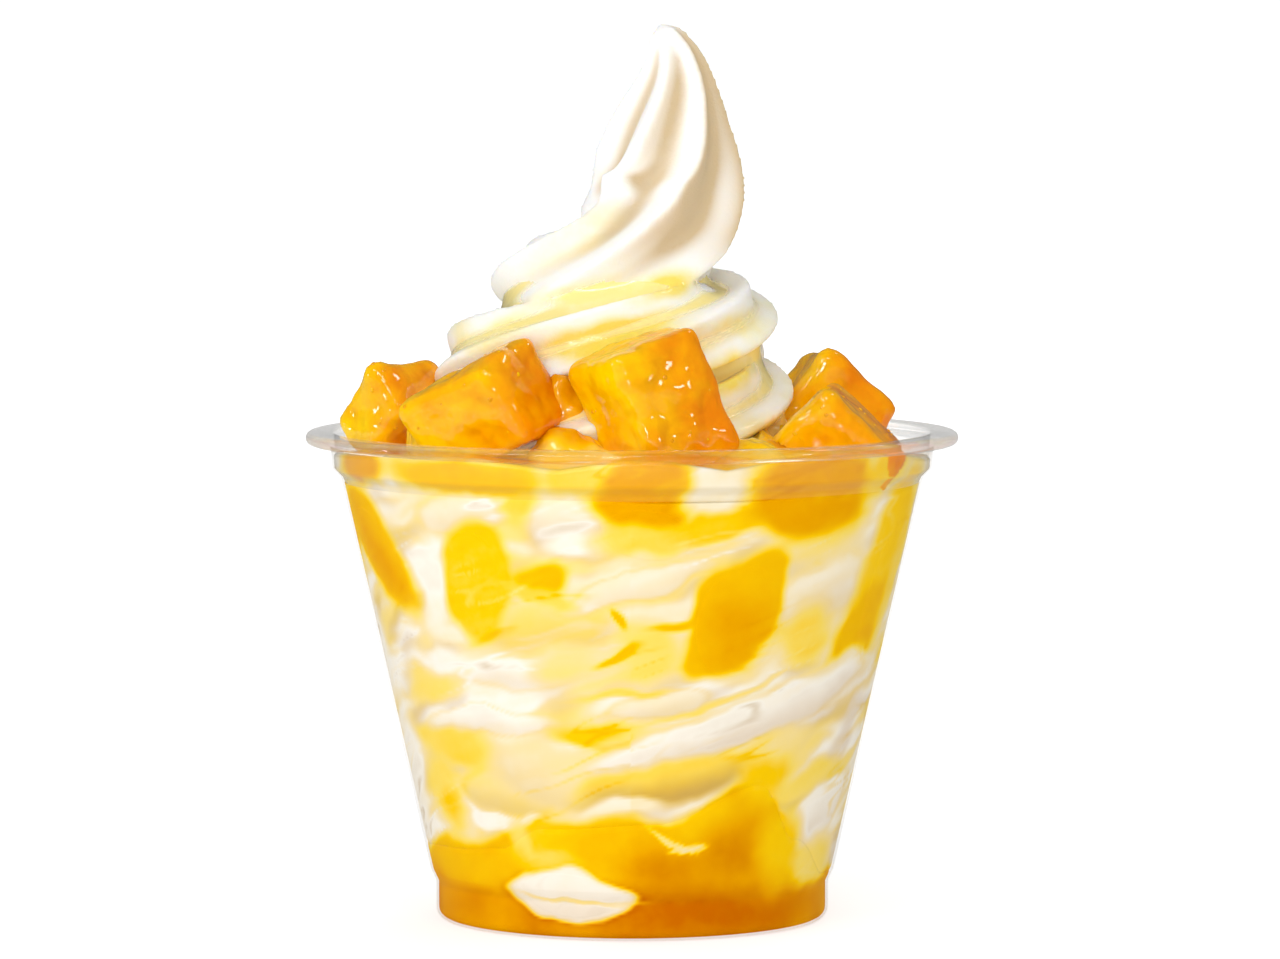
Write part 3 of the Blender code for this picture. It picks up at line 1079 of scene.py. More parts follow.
FRONT_WASHES = [
    # Yogurt lobes and streaks in the upper half
    Wash(183, 39, 8, 8, 10, Tone.WHITE, 0.4),
    Wash(235.5, 60, 9, 3.4, 8, Tone.MILKY, 0.35, shade=0.21, outline=0.12),
    Wash(259.5, 58.5, 8.2, 4.8, -2, Tone.MILKY, 0.25, shade=0.52, outline=0.12),
    Wash(257, 57.8, 3.6, 0.8, 8, Tone.SHADED, 0.6),
    Wash(259, 55.6, 5.0, 1.6, 3, Tone.WHITE, 0.5),
    Wash(224.5, 49, 3.0, 7, -12, Tone.WHITE, 0.5),
    Wash(253, 45, 10, 4.2, 5, Tone.PALE, 0.6, shade=0.2),
    Wash(271.5, 50.4, 12, 2.0, 17, Tone.MILKY, 0.4, shade=0.16, outline=0.12),
    Wash(277, 46.4, 7, 1.9, 17, Tone.MILKY, 0.4),
    Wash(248, 38.2, 12, 2.6, 6, Tone.WHITE, 0.4, shade=0.23, outline=0.12),
    Wash(256, 38.8, 5.4, 2.6, 6, Tone.BLUSH, 0.6),
    Wash(216, 35.3, 6, 2.2, 0, Tone.PALE, 0.6),
    Wash(222, 38.9, 3.4, 1.6, 0, Tone.WHITE, 0.5),
    Wash(274, 40.4, 5.4, 4.2, 10, Tone.PALE, 0.5),
    Wash(315, 48.6, 9.5, 4.8, 14, Tone.MILKY, 0.35, shade=0.23, outline=0.12),
    Wash(312, 55, 9, 2.6, 5, Tone.BLUSH, 0.7),
    Wash(311, 42.2, 4.6, 4.4, 20, Tone.BUTTER, 0.6),
    # Sauce in the upper half
    Wash(184, 56, 6, 7, -40, Tone.GOLD, 0.5),
    Wash(203, 54.5, 12, 5.6, -42, Tone.GOLD, 0.25),
    Wash(205, 52.5, 8, 2.6, -46, Tone.ORANGE, 0.8),
    Wash(236, 50.5, 5.6, 8.5, -12, Tone.YELLOW, 0.16),
    Wash(250.5, 51, 4.2, 2.2, 8, Tone.GOLD, 0.35),
    Wash(251, 48.9, 5.0, 1.2, -12, Tone.BUTTER, 0.5),
    Wash(248.6, 63, 2.8, 4.6, -22, Tone.BUTTER, 0.5),
    Wash(271, 61.5, 7.4, 5.2, -28, Tone.ORANGE, 0.28),
    Wash(272, 56.6, 6.6, 2.0, 8, Tone.BUTTER, 0.5),
    Wash(279.5, 44.6, 3.6, 0.8, 15, Tone.GOLD, 0.5),
    Wash(287.3, 58.6, 7.0, 2.1, 10, Tone.YELLOW, 0.35),
    Wash(285.6, 63.0, 5.0, 2.6, 8, Tone.MILKY, 0.4),
    Wash(308.5, 61.4, 11, 5.6, 0, Tone.ORANGE, 0.3),
    Wash(337, 52, 6.4, 14, -15, Tone.YELLOW, 0.24),
    Wash(331, 42.5, 7.8, 5.0, 40, Tone.GOLD, 0.25),
    Wash(346, 52, 2.8, 11, -15, Tone.BUTTER, 0.6),
    Wash(292.6, 46.2, 6.7, 7.2, 17, Tone.GOLD, 0.14, 4.0, lean=27),
    Wash(293.5, 43.5, 4.6, 4.6, 10, Tone.ORANGE, 0.8),
    Wash(267.7, 45, 0.7, 1.9, 28, Tone.GOLD, 0.4),
    Wash(267, 39.8, 3.4, 0.8, 22, Tone.GOLD, 0.4),
    # Yogurt bands and sauce across the middle
    Wash(327, 35.6, 13, 3.4, 12, Tone.WHITE, 0.3, shade=0.16, outline=0.12),
    Wash(298, 30.5, 25, 3.3, 17, Tone.WHITE, 0.22, shade=0.34, outline=0.12),
    Wash(277, 33.4, 7.5, 1.8, 12, Tone.MILKY, 0.35, shade=0.23, outline=0.12),
    Wash(290, 33.8, 11, 0.45, 19, Tone.PALE, 0.6),
    Wash(268, 34.8, 6.5, 0.5, 8, Tone.BUTTER, 0.6),
    Wash(232.5, 30.2, 12, 2.0, 3, Tone.WHITE, 0.3, shade=0.21, outline=0.12),
    Wash(222, 26.6, 11, 2.2, -8, Tone.BUTTER, 0.5),
    Wash(213.5, 20, 4.6, 6.5, 8, Tone.PALE, 0.5),
    Wash(214.5, 17.5, 2.3, 2.8, 0, Tone.YELLOW, 0.7),
    Wash(194, 21, 5, 9, -10, Tone.WHITE, 0.4),
    Wash(236.2, 20.5, 7.5, 3.4, -12, Tone.BLUSH, 0.3, shade=0.31, outline=0.12),
    Wash(247.5, 23.6, 8, 4.4, -20, Tone.CREAM, 0.4, shade=0.2),
    Wash(260.3, 29.2, 5.3, 1.4, 4, Tone.YELLOW, 0.45),
    Wash(279.3, 22.6, 12.5, 2.9, 10, Tone.BUTTER, 0.3, shade=0.75),
    Wash(268, 19, 6, 1.2, 8, Tone.MILKY, 0.4),
    Wash(232, 15.8, 4.0, 1.6, -5, Tone.WHITE, 0.3),
    Wash(242, 16.5, 2.3, 0.8, 20, Tone.MILKY, 0.4),
    Wash(306.4, 23.5, 4.2, 4.2, 20, Tone.YELLOW, 0.5),
    Wash(322.8, 22.4, 6.8, 1.8, 15, Tone.PALE, 0.5),
    Wash(310, 27, 5, 2.2, 15, Tone.BLUSH, 0.6),
    Wash(328, 16.6, 9, 4.2, 25, Tone.WHITE, 0.22, shade=0.16, outline=0.12),
    Wash(335, 10.5, 5.6, 3.5, 0, Tone.CREAM, 0.4),
    # Sauce and yogurt inside the collar
    Wash(206, 65.5, 7, 3.2, 0, Tone.ORANGE, 0.4),
    Wash(235, 65.2, 13, 2.6, -3, Tone.GOLD, 0.4),
    Wash(259, 65.5, 4, 3.0, 0, Tone.BUTTER, 0.5),
    Wash(273.5, 65.5, 5.2, 4.4, 0, Tone.ORANGE, 0.35),
    Wash(286.5, 65.5, 3.6, 3.4, 0, Tone.MILKY, 0.5),
    Wash(307, 65.2, 10, 3.6, 0, Tone.ORANGE, 0.3),
    Wash(328, 65.2, 5, 3.4, 0, Tone.YELLOW, 0.5),
    # Lights and darks in the pool
    Wash(248, 14.4, 4.4, 2.2, 5, Tone.YELLOW, 0.4),
    Wash(248.4, 10.4, 7.8, 1.9, -3, Tone.PALE, 0.4),
    Wash(239.5, 11.6, 1.5, 4.0, 10, Tone.PALE, 0.5),
    Wash(262.6, 12.6, 6, 4, 0, Tone.GOLD, 0.6),
    Wash(217.7, 9.8, 13, 3, 0, Tone.GOLD, 0.5),
    Wash(279, 9.8, 4.8, 3.4, 0, Tone.AMBER, 0.9),
    Wash(300.6, 12.4, 5.2, 3.4, 0, Tone.AMBER, 0.9),
    Wash(290, 3.4, 16, 3, 0, Tone.DEEP, 0.8),
    Wash(315, 12.3, 3.8, 5.5, 5, Tone.YELLOW, 0.6),
    Wash(332, 9.5, 5.5, 3.2, 0, Tone.PALE, 0.5),
    Wash(281.8, 14.6, 3.6, 0.35, -30, Tone.BLUSH, 0.5),
    Wash(286, 13.6, 2.4, 0.5, 0, Tone.CREAM, 0.5),
    Wash(251.5, 6.3, 9.2, 3.9, -4, Tone.WHITE, 0.1, 1.6, shade=0.31, outline=0.12),
    Wash(253, 5.6, 7.6, 0.35, -5, Tone.BLUSH, 0.5),
]


@dataclass
class Marbling:
    """How much sauce shows, and how much painted shade lies, at each point of what presses against the wall.
    Sizes are in mm.
    """

    cup: CupShell
    shore: list = field(default_factory=lambda: [
        (0, 7.6), (30, 9.0), (60, 14.0), (90, 17.5), (120, 15.0), (150, 12.0), (180, 11.6), (215, 12.4),
        (231, 13.2), (246, 16.5), (277, 17.4), (304, 22.4), (320, 14.0), (342, 8.0), (360, 7.6),
    ])
    mean_radius: float = 34.0
    streak_rise: float = math.tan(math.radians(16))
    streak_size: tuple[float, float] = (15.0, 3.6)
    thread_size: tuple[float, float] = (10.0, 2.2)
    drift: float = 1.4
    drift_size: float = 7.0
    raggedness: float = 0.35
    ragged_size: float = 2.2
    back_tones: tuple = (Tone.WHITE, Tone.WHITE, Tone.MILKY, Tone.PALE, Tone.BUTTER, Tone.YELLOW)
    back_pockets: tuple = ((38, 50, 8, 10), (92, 44, 9, 9.5), (150, 47, 6.5, 8.8), (8, 30, 6, 9))
    washes: list[Wash] = field(default_factory=lambda: [*FRONT_WASHES])
    back_washes: int = 34

    def __post_init__(self) -> None:
        """Adds patches round the sides and the back, drawn by a seeded rule."""
        rng = random.Random(SEED)
        for _ in range(self.back_washes):
            self.washes.append(Wash(
                rng.uniform(-2, 172), rng.uniform(16, 60), rng.uniform(3, 11), rng.uniform(1.2, 3.6),
                rng.uniform(6, 26), rng.choice(self.back_tones), rng.uniform(0.25, 0.6),
            ))
        for angle, height, width, tall in self.back_pockets:
            self.washes.append(Wash(angle, height, width, tall, -10, Tone.YELLOW, 0.18))
            self.washes.append(Wash(angle, height - 1, width * 0.6, tall * 0.6, -10, Tone.GOLD, 0.8))

    def shore_height(self, angles: np.ndarray) -> np.ndarray:
        """Height of the sauce pool's edge.

        Args:
            angles: Angles in degrees.

        Returns:
            Heights in mm.
        """
        places, heights = (np.array(column) for column in zip(*self.shore))
        turned = angles % 360
        index = np.clip(np.searchsorted(places, turned, side="right") - 1, 0, len(places) - 2)
        share = (turned - places[index]) / (places[index + 1] - places[index])
        eased_share = share * share * (3 - 2 * share)
        return heights[index] + (heights[index + 1] - heights[index]) * eased_share

    def _slanted(self, offset: np.ndarray, heights: np.ndarray, size: tuple[float, float]) -> np.ndarray:
        """Flattens points of the wall, so that noise on them makes slanting streaks.

        Args:
            offset: Degrees round from the front.
            heights: Heights in mm.
            size: How long and how high a streak is, in mm.

        Returns:
            Positions in streaks, one row each.
        """
        along = np.radians(offset) * self.mean_radius
        rise = heights - along * self.streak_rise
        return np.stack([along / size[0], rise / size[1], np.zeros_like(along)], axis=1)

    def _streaks(self, angles: np.ndarray, heights: np.ndarray) -> np.ndarray:
        """Slanting streaks, which close on themselves at the back.

        Args:
            angles: Angles in degrees.
            heights: Heights in mm.

        Returns:
            One number for each point, about -1 to 1.
        """
        away = (angles - 270 + 180) % 360 - 180
        both = []
        for offset in (away, away - 360 * np.sign(away)):
            points = self._slanted(offset, heights, self.streak_size) + np.array([0.0, 0.0, 0.7])
            both.append(noise_at(points, 1.0) + 0.5 * noise_at(points * 2.3, 1.0, 3.0))
        share = 0.5 * smoothstep(140, 180, np.abs(away))
        return both[0] * (1 - share) + both[1] * share

    def _threads(self, where: np.ndarray) -> np.ndarray:
        """Thin slanting lines of paler yogurt and richer sauce.

        Args:
            where: Points in mm, one row each.

        Returns:
            How much sauce the lines add at each point.
        """
        away = (np.degrees(np.arctan2(where[:, 1], where[:, 0])) + 450) % 360 - 180
        flat = self._slanted(away, where[:, 2], self.thread_size)
        lines = noise_at(flat, 1.0, 6.0)
        kind = np.clip(5 * noise_at(flat * np.array([0.5, 0.3, 1.0]), 1.0, 8.0), -1, 1)
        thin = smoothstep(0.15, 0.0, np.abs(lines)) * kind
        patchy = smoothstep(-0.1, 0.4, noise_at(where, 9.0, 9.0))
        return 0.2 * thin * patchy + 0.07 * lines

    def layers(self, points: np.ndarray) -> tuple[np.ndarray, np.ndarray]:
        """The amounts of sauce and of shade at points of the contents.

        Args:
            points: Positions in metres, one row each.

        Returns:
            Amounts of sauce as Tone counts them, and shade from 0 to 1.
        """
        where = points / MM
        drift = np.stack([noise_at(where, self.drift_size, seed) for seed in (1.0, 2.0)], axis=1)
        ragged = np.stack([noise_at(where, self.ragged_size, seed) for seed in (4.0, 5.0)], axis=1)
        shift = self.drift * drift + self.raggedness * ragged
        radius = np.maximum(np.hypot(where[:, 0], where[:, 1]), 1.0)
        angles = np.degrees(np.arctan2(where[:, 1], where[:, 0]) + shift[:, 0] / radius)
        heights = where[:, 2] + shift[:, 1]
        level = 0.02 + 0.34 * smoothstep(-0.45, 0.55, self._streaks(angles, heights))
        pool = smoothstep(1.2, -0.8, heights - self.shore_height(angles))
        depth = 0.7 + 0.16 * smoothstep(14, 3, heights) + 0.1 * drift[:, 0]
        level = level * (1 - pool) + depth * pool
        rise = heights - np.radians(angles) * self.mean_radius * self.streak_rise
        # Painted shade of soft slanting folds in the yogurt, kept out of the pool.
        folds = noise_at(np.stack([where[:, 0], where[:, 1], 2.4 * rise], axis=1), 8.0, 12.0)
        dim = 0.3 * smoothstep(-0.05, 0.55, folds) * (1 - pool)
        for wash in self.washes:
            radius = float(self.cup.inside(wash.height * MM)) / MM
            level, dim = wash.laid_over(level, dim, angles, heights, radius)
        calm = (0.3 + 0.7 * (1 - pool)) * (1 - 0.75 * smoothstep(0.5, 0.68, level))
        return level + self._threads(where) * calm, np.clip(dim, 0, 1)

    def paint_on(self, mesh: bpy.types.Mesh) -> None:
        """Paints a mesh with the amounts of sauce and of shade at its points."""
        level, dim = self.layers(points_of(mesh))
        paint(mesh, "sauce", level)
        paint(mesh, "dim", dim)


@dataclass
class Contents:
    """What presses against the wall: the yogurt, the pool of sauce, the pockets of sauce and the blob.

    Cling has angles in degrees and heights in mm. Pockets and blob have an angle in degrees, the height,
    half width, half height and depth in mm, and a lean in degrees.
    """

    cup: CupShell
    marbling: Marbling
    yogurt: MarbledFinish
    sauce: MarbledFinish
    wet: MarbledFinish
    cling: list = field(default_factory=lambda: [
        (0, 65.5), (30, 64.5), (60, 66), (90, 64.2), (130, 66), (160, 65), (190, 66.4), (215, 67.2),
        (240, 67.4), (256, 66.2), (268, 67.6), (276, 67.5), (288, 66.0), (300, 67.4), (318, 67.5),
        (332, 67.0), (345, 66.0),
    ])
    film: float = 0.3 * MM
    meniscus: float = 2.4 * MM
    meniscus_reach: float = 1.6 * MM
    press: float = 0.12 * MM
    lens_press: float = 0.15 * MM
    pool_press: float = 0.14 * MM
    cling_press: float = 0.15 * MM
    cling_edge: float = 0.6 * MM
    cling_thickness: float = 0.5 * MM
    columns: int = 600
    wall_rows: int = 112
    pool_rows: int = 36
    cling_rows: int = 22
    seam_sink: float = 0.3 * MM
    seam_width: float = 1.6 * MM
    gap: float = 0.3 * MM
    level: float = 62.2 * MM
    rise: float = 7.5 * MM
    pool_centre: float = 14.5 * MM
    pool_shares: tuple = (0.3, 0.6, 0.85)
    lens_rings: int = 40
    lens_sink: float = 0.4 * MM
    lens_edge: float = 0.8
    pockets: list = field(default_factory=lambda: [
        (198, 52.0, 10.5, 8.8, 4.0, 8), (234.5, 50.0, 6.0, 8.8, 4.5, -6), (293.8, 44.8, 8.2, 9.6, 5.0, -14),
        (339, 48.0, 6.2, 13.6, 4.0, -17), (273, 57.2, 8.0, 4.2, 3.6, -8), (38, 50.0, 8.0, 10.0, 4.5, 12),
        (92, 44.0, 9.0, 9.5, 5.0, -10), (150, 47.0, 6.5, 8.8, 4.5, 9),
    ])
    blob: tuple = (251.5, 6.4, 8.8, 3.8, 4.0, -4)

    def __post_init__(self) -> None:
        """Works out the angles of the columns and the two finishes."""
        self.angles = np.arange(self.columns) * TURN / self.columns
        self.yogurt_material = self.yogurt.make()
        self.sauce_material = self.sauce.make()

    def shore(self) -> np.ndarray:
        """Height of the pool's edge at each column."""
        return self.marbling.shore_height(np.degrees(self.angles)) * MM

    def pool_top(self, share: float, lift: float = 0.0) -> np.ndarray:
        """A loop of the pool's top.

        Args:
            share: How far out the loop lies, from 0 at the axis to 1 at the wall.
            lift: How far above the pool it lies.

        Returns:
            The loop.
        """
        shore = self.shore()
        height = self.pool_centre + (shore - self.pool_centre) * share**1.5 + lift
        return ring(self.angles, self.cup.inside(shore) * share, height)

    def mound_top(self, share: float) -> np.ndarray:
        """A loop of the yogurt's top under the fruit and the swirl, with soft lobes.

        Args:
            share: How far out the loop lies, from 0 at the axis to 1 at the wall.

        Returns:
            The loop.
        """
        ripple = (0.7 * np.cos(3 * self.angles + 0.8) + 0.4 * np.cos(7 * self.angles)) * share * MM
        height = self.level + self.rise * (1 - share**2) + ripple
        loop = ring(self.angles, self.cup.inside(self.level) * share, height)
        lobes = noise_at(loop / MM, 6.0, 7.0) * 0.7 + noise_at(loop / MM, 2.4, 8.0) * 0.25
        loop[:, 2] += lobes * MM * smoothstep(1.0, 0.9, np.full(len(loop), share))
        return loop

    def cling_height(self) -> np.ndarray:
        """How high sauce clings to the wall above the yogurt at each column."""
        places, heights = (np.array(column) for column in zip(*self.cling))
        return np.interp(np.degrees(self.angles), places, heights, period=360) * MM

    def wall_loops(
        self, low: Any, high: Any, rows: Sequence[float], press: Callable[[np.ndarray], np.ndarray]
    ) -> list[np.ndarray]:
        """Loops up the wall, from one height to another.

        Args:
            low: The lowest height, one number or one for each column.
            high: The highest height.
            rows: Shares of the way up, one for each loop.
            press: Gives how far into the plastic the loop lies at given heights.

        Returns:
            The loops.
        """
        loops = []
        for share in rows:
            heights = np.broadcast_to(low + (high - low) * share, self.angles.shape)
            loops.append(ring(self.angles, self.cup.inside(heights) + press(heights), heights))
        return loops

    def sunk(self, above: np.ndarray) -> np.ndarray:
        """How far a skin draws back from the wall near a seam, at distances from the seam."""
        return self.seam_sink * smoothstep(self.seam_width, 0.0, above)

    def build_top_sauce(self, chunks: Sequence[bpy.types.Object]) -> None:
        """The sauce on top of the yogurt, which rises round the chunks and clings to the wall.

        Args:
            chunks: The mango chunks that it rises round.
        """
        trees = [tree_of(chunk.data) for chunk in chunks]
        loops = []
        nearness = []
        for share in np.linspace(0.97, 0.25, 46):
            loop = self.mound_top(share)
            gaps = np.array([min(tree.find_nearest(Vector(p))[3] for tree in trees) for p in loop])
            near = np.exp(-gaps / self.meniscus_reach)
            lumps = 0.5 + 0.5 * noise_at(loop / MM, 3.2, 41.0)
            loop[:, 2] += self.film + self.film * lumps + self.meniscus * near
            loops.append(loop)
            nearness.append(near)
        cling = self.cling_height()
        low = self.level - 1.2 * MM

        def press(heights: np.ndarray) -> np.ndarray:
            """How far into the plastic the sauce lies, less at its lower seam and its upper edge."""
            edge = smoothstep(-self.cling_edge, 0.0, heights - cling)
            return self.cling_press - self.sunk(heights - low) - self.cling_thickness * edge

        outer = self.wall_loops(low, cling, np.arange(self.cling_rows + 1) / self.cling_rows, press)
        inner = []
        for t in np.linspace(0.1, 0.9, 5):
            heights = cling * (1 - t) + loops[0][:, 2] * t
            inset = self.cling_thickness + 0.6 * MM * t
            inner.append(ring(self.angles, self.cup.inside(heights) - inset, heights))
        depth = 2 * self.film
        under = [self.mound_top(share) - on_axis(depth) for share in (0.25, 0.6, 0.95)]
        centre = self.level + self.rise
        mesh = skin_of_loops(
            "sauce_on_top", [*under, *outer, *inner, *loops],
            on_axis(centre - depth), on_axis(centre + self.film),
        )
        points = points_of(mesh)
        amount, dim = self.marbling.layers(points)
        paint(mesh, "dim", dim)
        from_wall = self.cup.inside(points[:, 2]) - np.hypot(points[:, 0], points[:, 1])
        inside = smoothstep(0.0, 1.2 * MM, from_wall)
        away = np.zeros(self.columns * (len(under) + len(outer) + len(inner)))
        near = np.concatenate([away, *nearness, [0, 0]])
        lying = 0.42 + 0.35 * noise_at(points / MM, 4.0, 42.0) + 0.35 * near
        paint(mesh, "sauce", amount * (1 - inside) + lying * inside)
        settle(new_piece("sauce_on_top", mesh, self.wet.make()), "mango_sauce")

    def build(self) -> None:
        """Builds and dresses every piece of the contents."""
        self.build_yogurt()
        self.build_pool()
        for number, place in enumerate(self.pockets, start=1):
            piece = self.build_lens(f"wall_sauce_{number}", place, self.sauce_material)
            settle(piece, "mango_sauce", f"sauce_pocket_{number}")
        blob = self.build_lens("yogurt_in_pool", self.blob, self.yogurt_material)
        settle(blob, "frozen_yogurt", "yogurt_blob")

    def build_yogurt(self) -> None:
        """The yogurt in the cup, from the pool's top up to a low mound."""
        bottom = self.shore() - self.seam_width
        wall = self.wall_loops(
            bottom, self.level - 0.5 * MM, np.arange(self.wall_rows + 1) / self.wall_rows,
            lambda heights: self.press - self.sunk(heights - bottom),
        )
        loops = [
            *[self.pool_top(share, self.gap) for share in self.pool_shares],
            *wall,
            *[self.mound_top(share) for share in np.linspace(0.995, 0.3, 26)],
        ]
        first = on_axis(self.pool_centre + self.gap)
        mesh = skin_of_loops("yogurt_in_cup", loops, first, on_axis(self.level + self.rise))
        points = points_of(mesh)
        top_share = smoothstep(self.level - 0.6 * MM, self.level + 1.5 * MM, points[:, 2])
        on_top = 0.3 + 0.3 * noise_at(points / MM, 5.0, 9.0)
        level, dim = self.marbling.layers(points)
        paint(mesh, "sauce", level * (1 - top_share) + on_top * top_share)
        paint(mesh, "dim", dim * (1 - top_share))
        settle(new_piece("yogurt_in_cup", mesh, self.yogurt_material), "frozen_yogurt", "frozen_yogurt")

    def build_pool(self) -> None:
        """The sauce in the bottom of the cup, down into the standing ring."""
        base = [p for p in self.cup.inner_line(self.press) if p[1] < self.cup.foot[1]]
        floor = []
        for start, end in zip(base, base[1:]):
            steps = max(1, round(math.dist(start, end) / (1.2 * MM)))
            for i in range(steps):
                floor.append(np.array(start) + (np.array(end) - np.array(start)) * i / steps)
        floor.append(np.array(base[-1]))
        shore = self.shore()
        wall = self.wall_loops(
            floor[-1][1], shore, np.arange(1, self.pool_rows + 1) / self.pool_rows,
            lambda heights: self.pool_press - self.sunk(shore - heights),
        )
        loops = [
            *[ring(self.angles, r, z) for r, z in floor[1:]],
            *wall,
            *[self.pool_top(share) for share in reversed(self.pool_shares)],
        ]
        mesh = skin_of_loops("sauce_pool", loops, on_axis(floor[0][1]), on_axis(self.pool_centre))
        self.marbling.paint_on(mesh)
        settle(new_piece("sauce_pool", mesh, self.sauce_material), "mango_sauce", "mango_sauce_pool")

    def build_lens(self, name: str, place: tuple, material: bpy.types.Material) -> bpy.types.Object:
        """A lens of sauce or yogurt, flattened against the wall.

        Args:
            name: The piece's name.
            place: Angle, height, half width, half height and depth, and lean.
            material: Its finish.

        Returns:
            The lens.
        """
        degrees, height, half_width, half_height, depth, lean = place
        size = Matrix.Diagonal((depth * MM, half_width * MM, half_height * MM, 1))
        centre = Matrix.Translation((float(self.cup.inside(height * MM)) - 2 * self.gap, 0, height * MM))
        turn = Matrix.Rotation(math.radians(degrees), 4, "Z")
        tilt = Matrix.Rotation(math.radians(lean), 4, "X")
        mesh = bpy.data.meshes.new(name)
        with edited(mesh) as edit:
            bmesh.ops.create_uvsphere(
                edit, u_segments=2 * self.lens_rings, v_segments=self.lens_rings, radius=1.0,
                matrix=turn @ centre @ tilt @ size @ Matrix.Rotation(math.radians(90), 4, "Y"),
            )
        points = points_of(mesh)
        back = np.array((turn @ centre @ tilt @ size).inverted())
        local = np.hypot(*(points @ back[:3, :3].T + back[:3, 3])[:, 1:].T)
        press = self.lens_press - self.lens_sink * smoothstep(self.lens_edge, 1.0, local)
        reach = np.hypot(points[:, 0], points[:, 1])
        limit = self.cup.inside(points[:, 2]) + press
        points[:, :2] *= np.minimum(1.0, limit / reach)[:, None]
        move_points(mesh, points)
        self.marbling.paint_on(mesh)
        return new_piece(name, turned_out(mesh), material)


# The swirl


@dataclass
class FlutedRope:
    """Lofts a rope with rounded ridges along it through the stations of a path."""

    ridges: int = 6
    section_points: int = 72
    depth: float = 0.34
    sharpness: float = 1.2

    def loft(self, path: bpy.types.Object, material: bpy.types.Material) -> bpy.types.Mesh:
        """Lofts the rope.

        Args:
            path: The stations, whose mesh becomes the rope.
            material: The rope's finish.

        Returns:
            The rope's mesh.
        """
        tree = GeometryTree("Fluted rope", {
            "Ridges": "Int", "Section points": "Int", "Ridge depth": "Float", "Ridge sharpness": "Float",
        })
        around = tree.given("Section points")
        columns = around + 1.0
        size = tree.node("GeometryNodeAttributeDomainSize", inputs={"Geometry": tree.given("Mesh")})
        grid = tree.node("GeometryNodeMeshGrid", inputs={
            "Size X": 1.0, "Size Y": 1.0, "Vertices X": size.outputs["Point Count"], "Vertices Y": columns,
        })
        index = Value(tree, tree.node("GeometryNodeInputIndex").outputs[0])
        station = ((index + 0.25) / columns).apply("FLOOR")
        angle = (index - station * columns) * TURN / around
        wave = (angle * (tree.given("Ridges") * 0.5)).apply("SINE").apply("ABSOLUTE")
        valley = wave ** tree.given("Ridge sharpness") * tree.given("Ridge depth")
        reach = tree.stored("rope_radius", "FLOAT", station) * (1 - valley)
        turn = angle + tree.stored("ridge_twist", "FLOAT", station)
        out = tree.sum_of(
            tree.scaled(tree.stored("across", "FLOAT_VECTOR", station), turn.apply("COSINE")),
            tree.scaled(tree.stored("beside", "FLOAT_VECTOR", station), turn.apply("SINE")),
        )
        spot = tree.sum_of(tree.stored("centre", "FLOAT_VECTOR", station), tree.scaled(out, reach))
        placed = {"Geometry": grid.outputs["Mesh"], "Position": spot}
        loft = tree.node("GeometryNodeSetPosition", inputs=placed)
        merged = {"Geometry": loft.outputs[0], "Distance": WELD}
        tree.finish(tree.node("GeometryNodeMergeByDistance", inputs=merged).outputs[0], material)
        return tree.apply(path, {
            "Ridges": self.ridges, "Section points": self.section_points,
            "Ridge depth": self.depth, "Ridge sharpness": self.sharpness,
        })


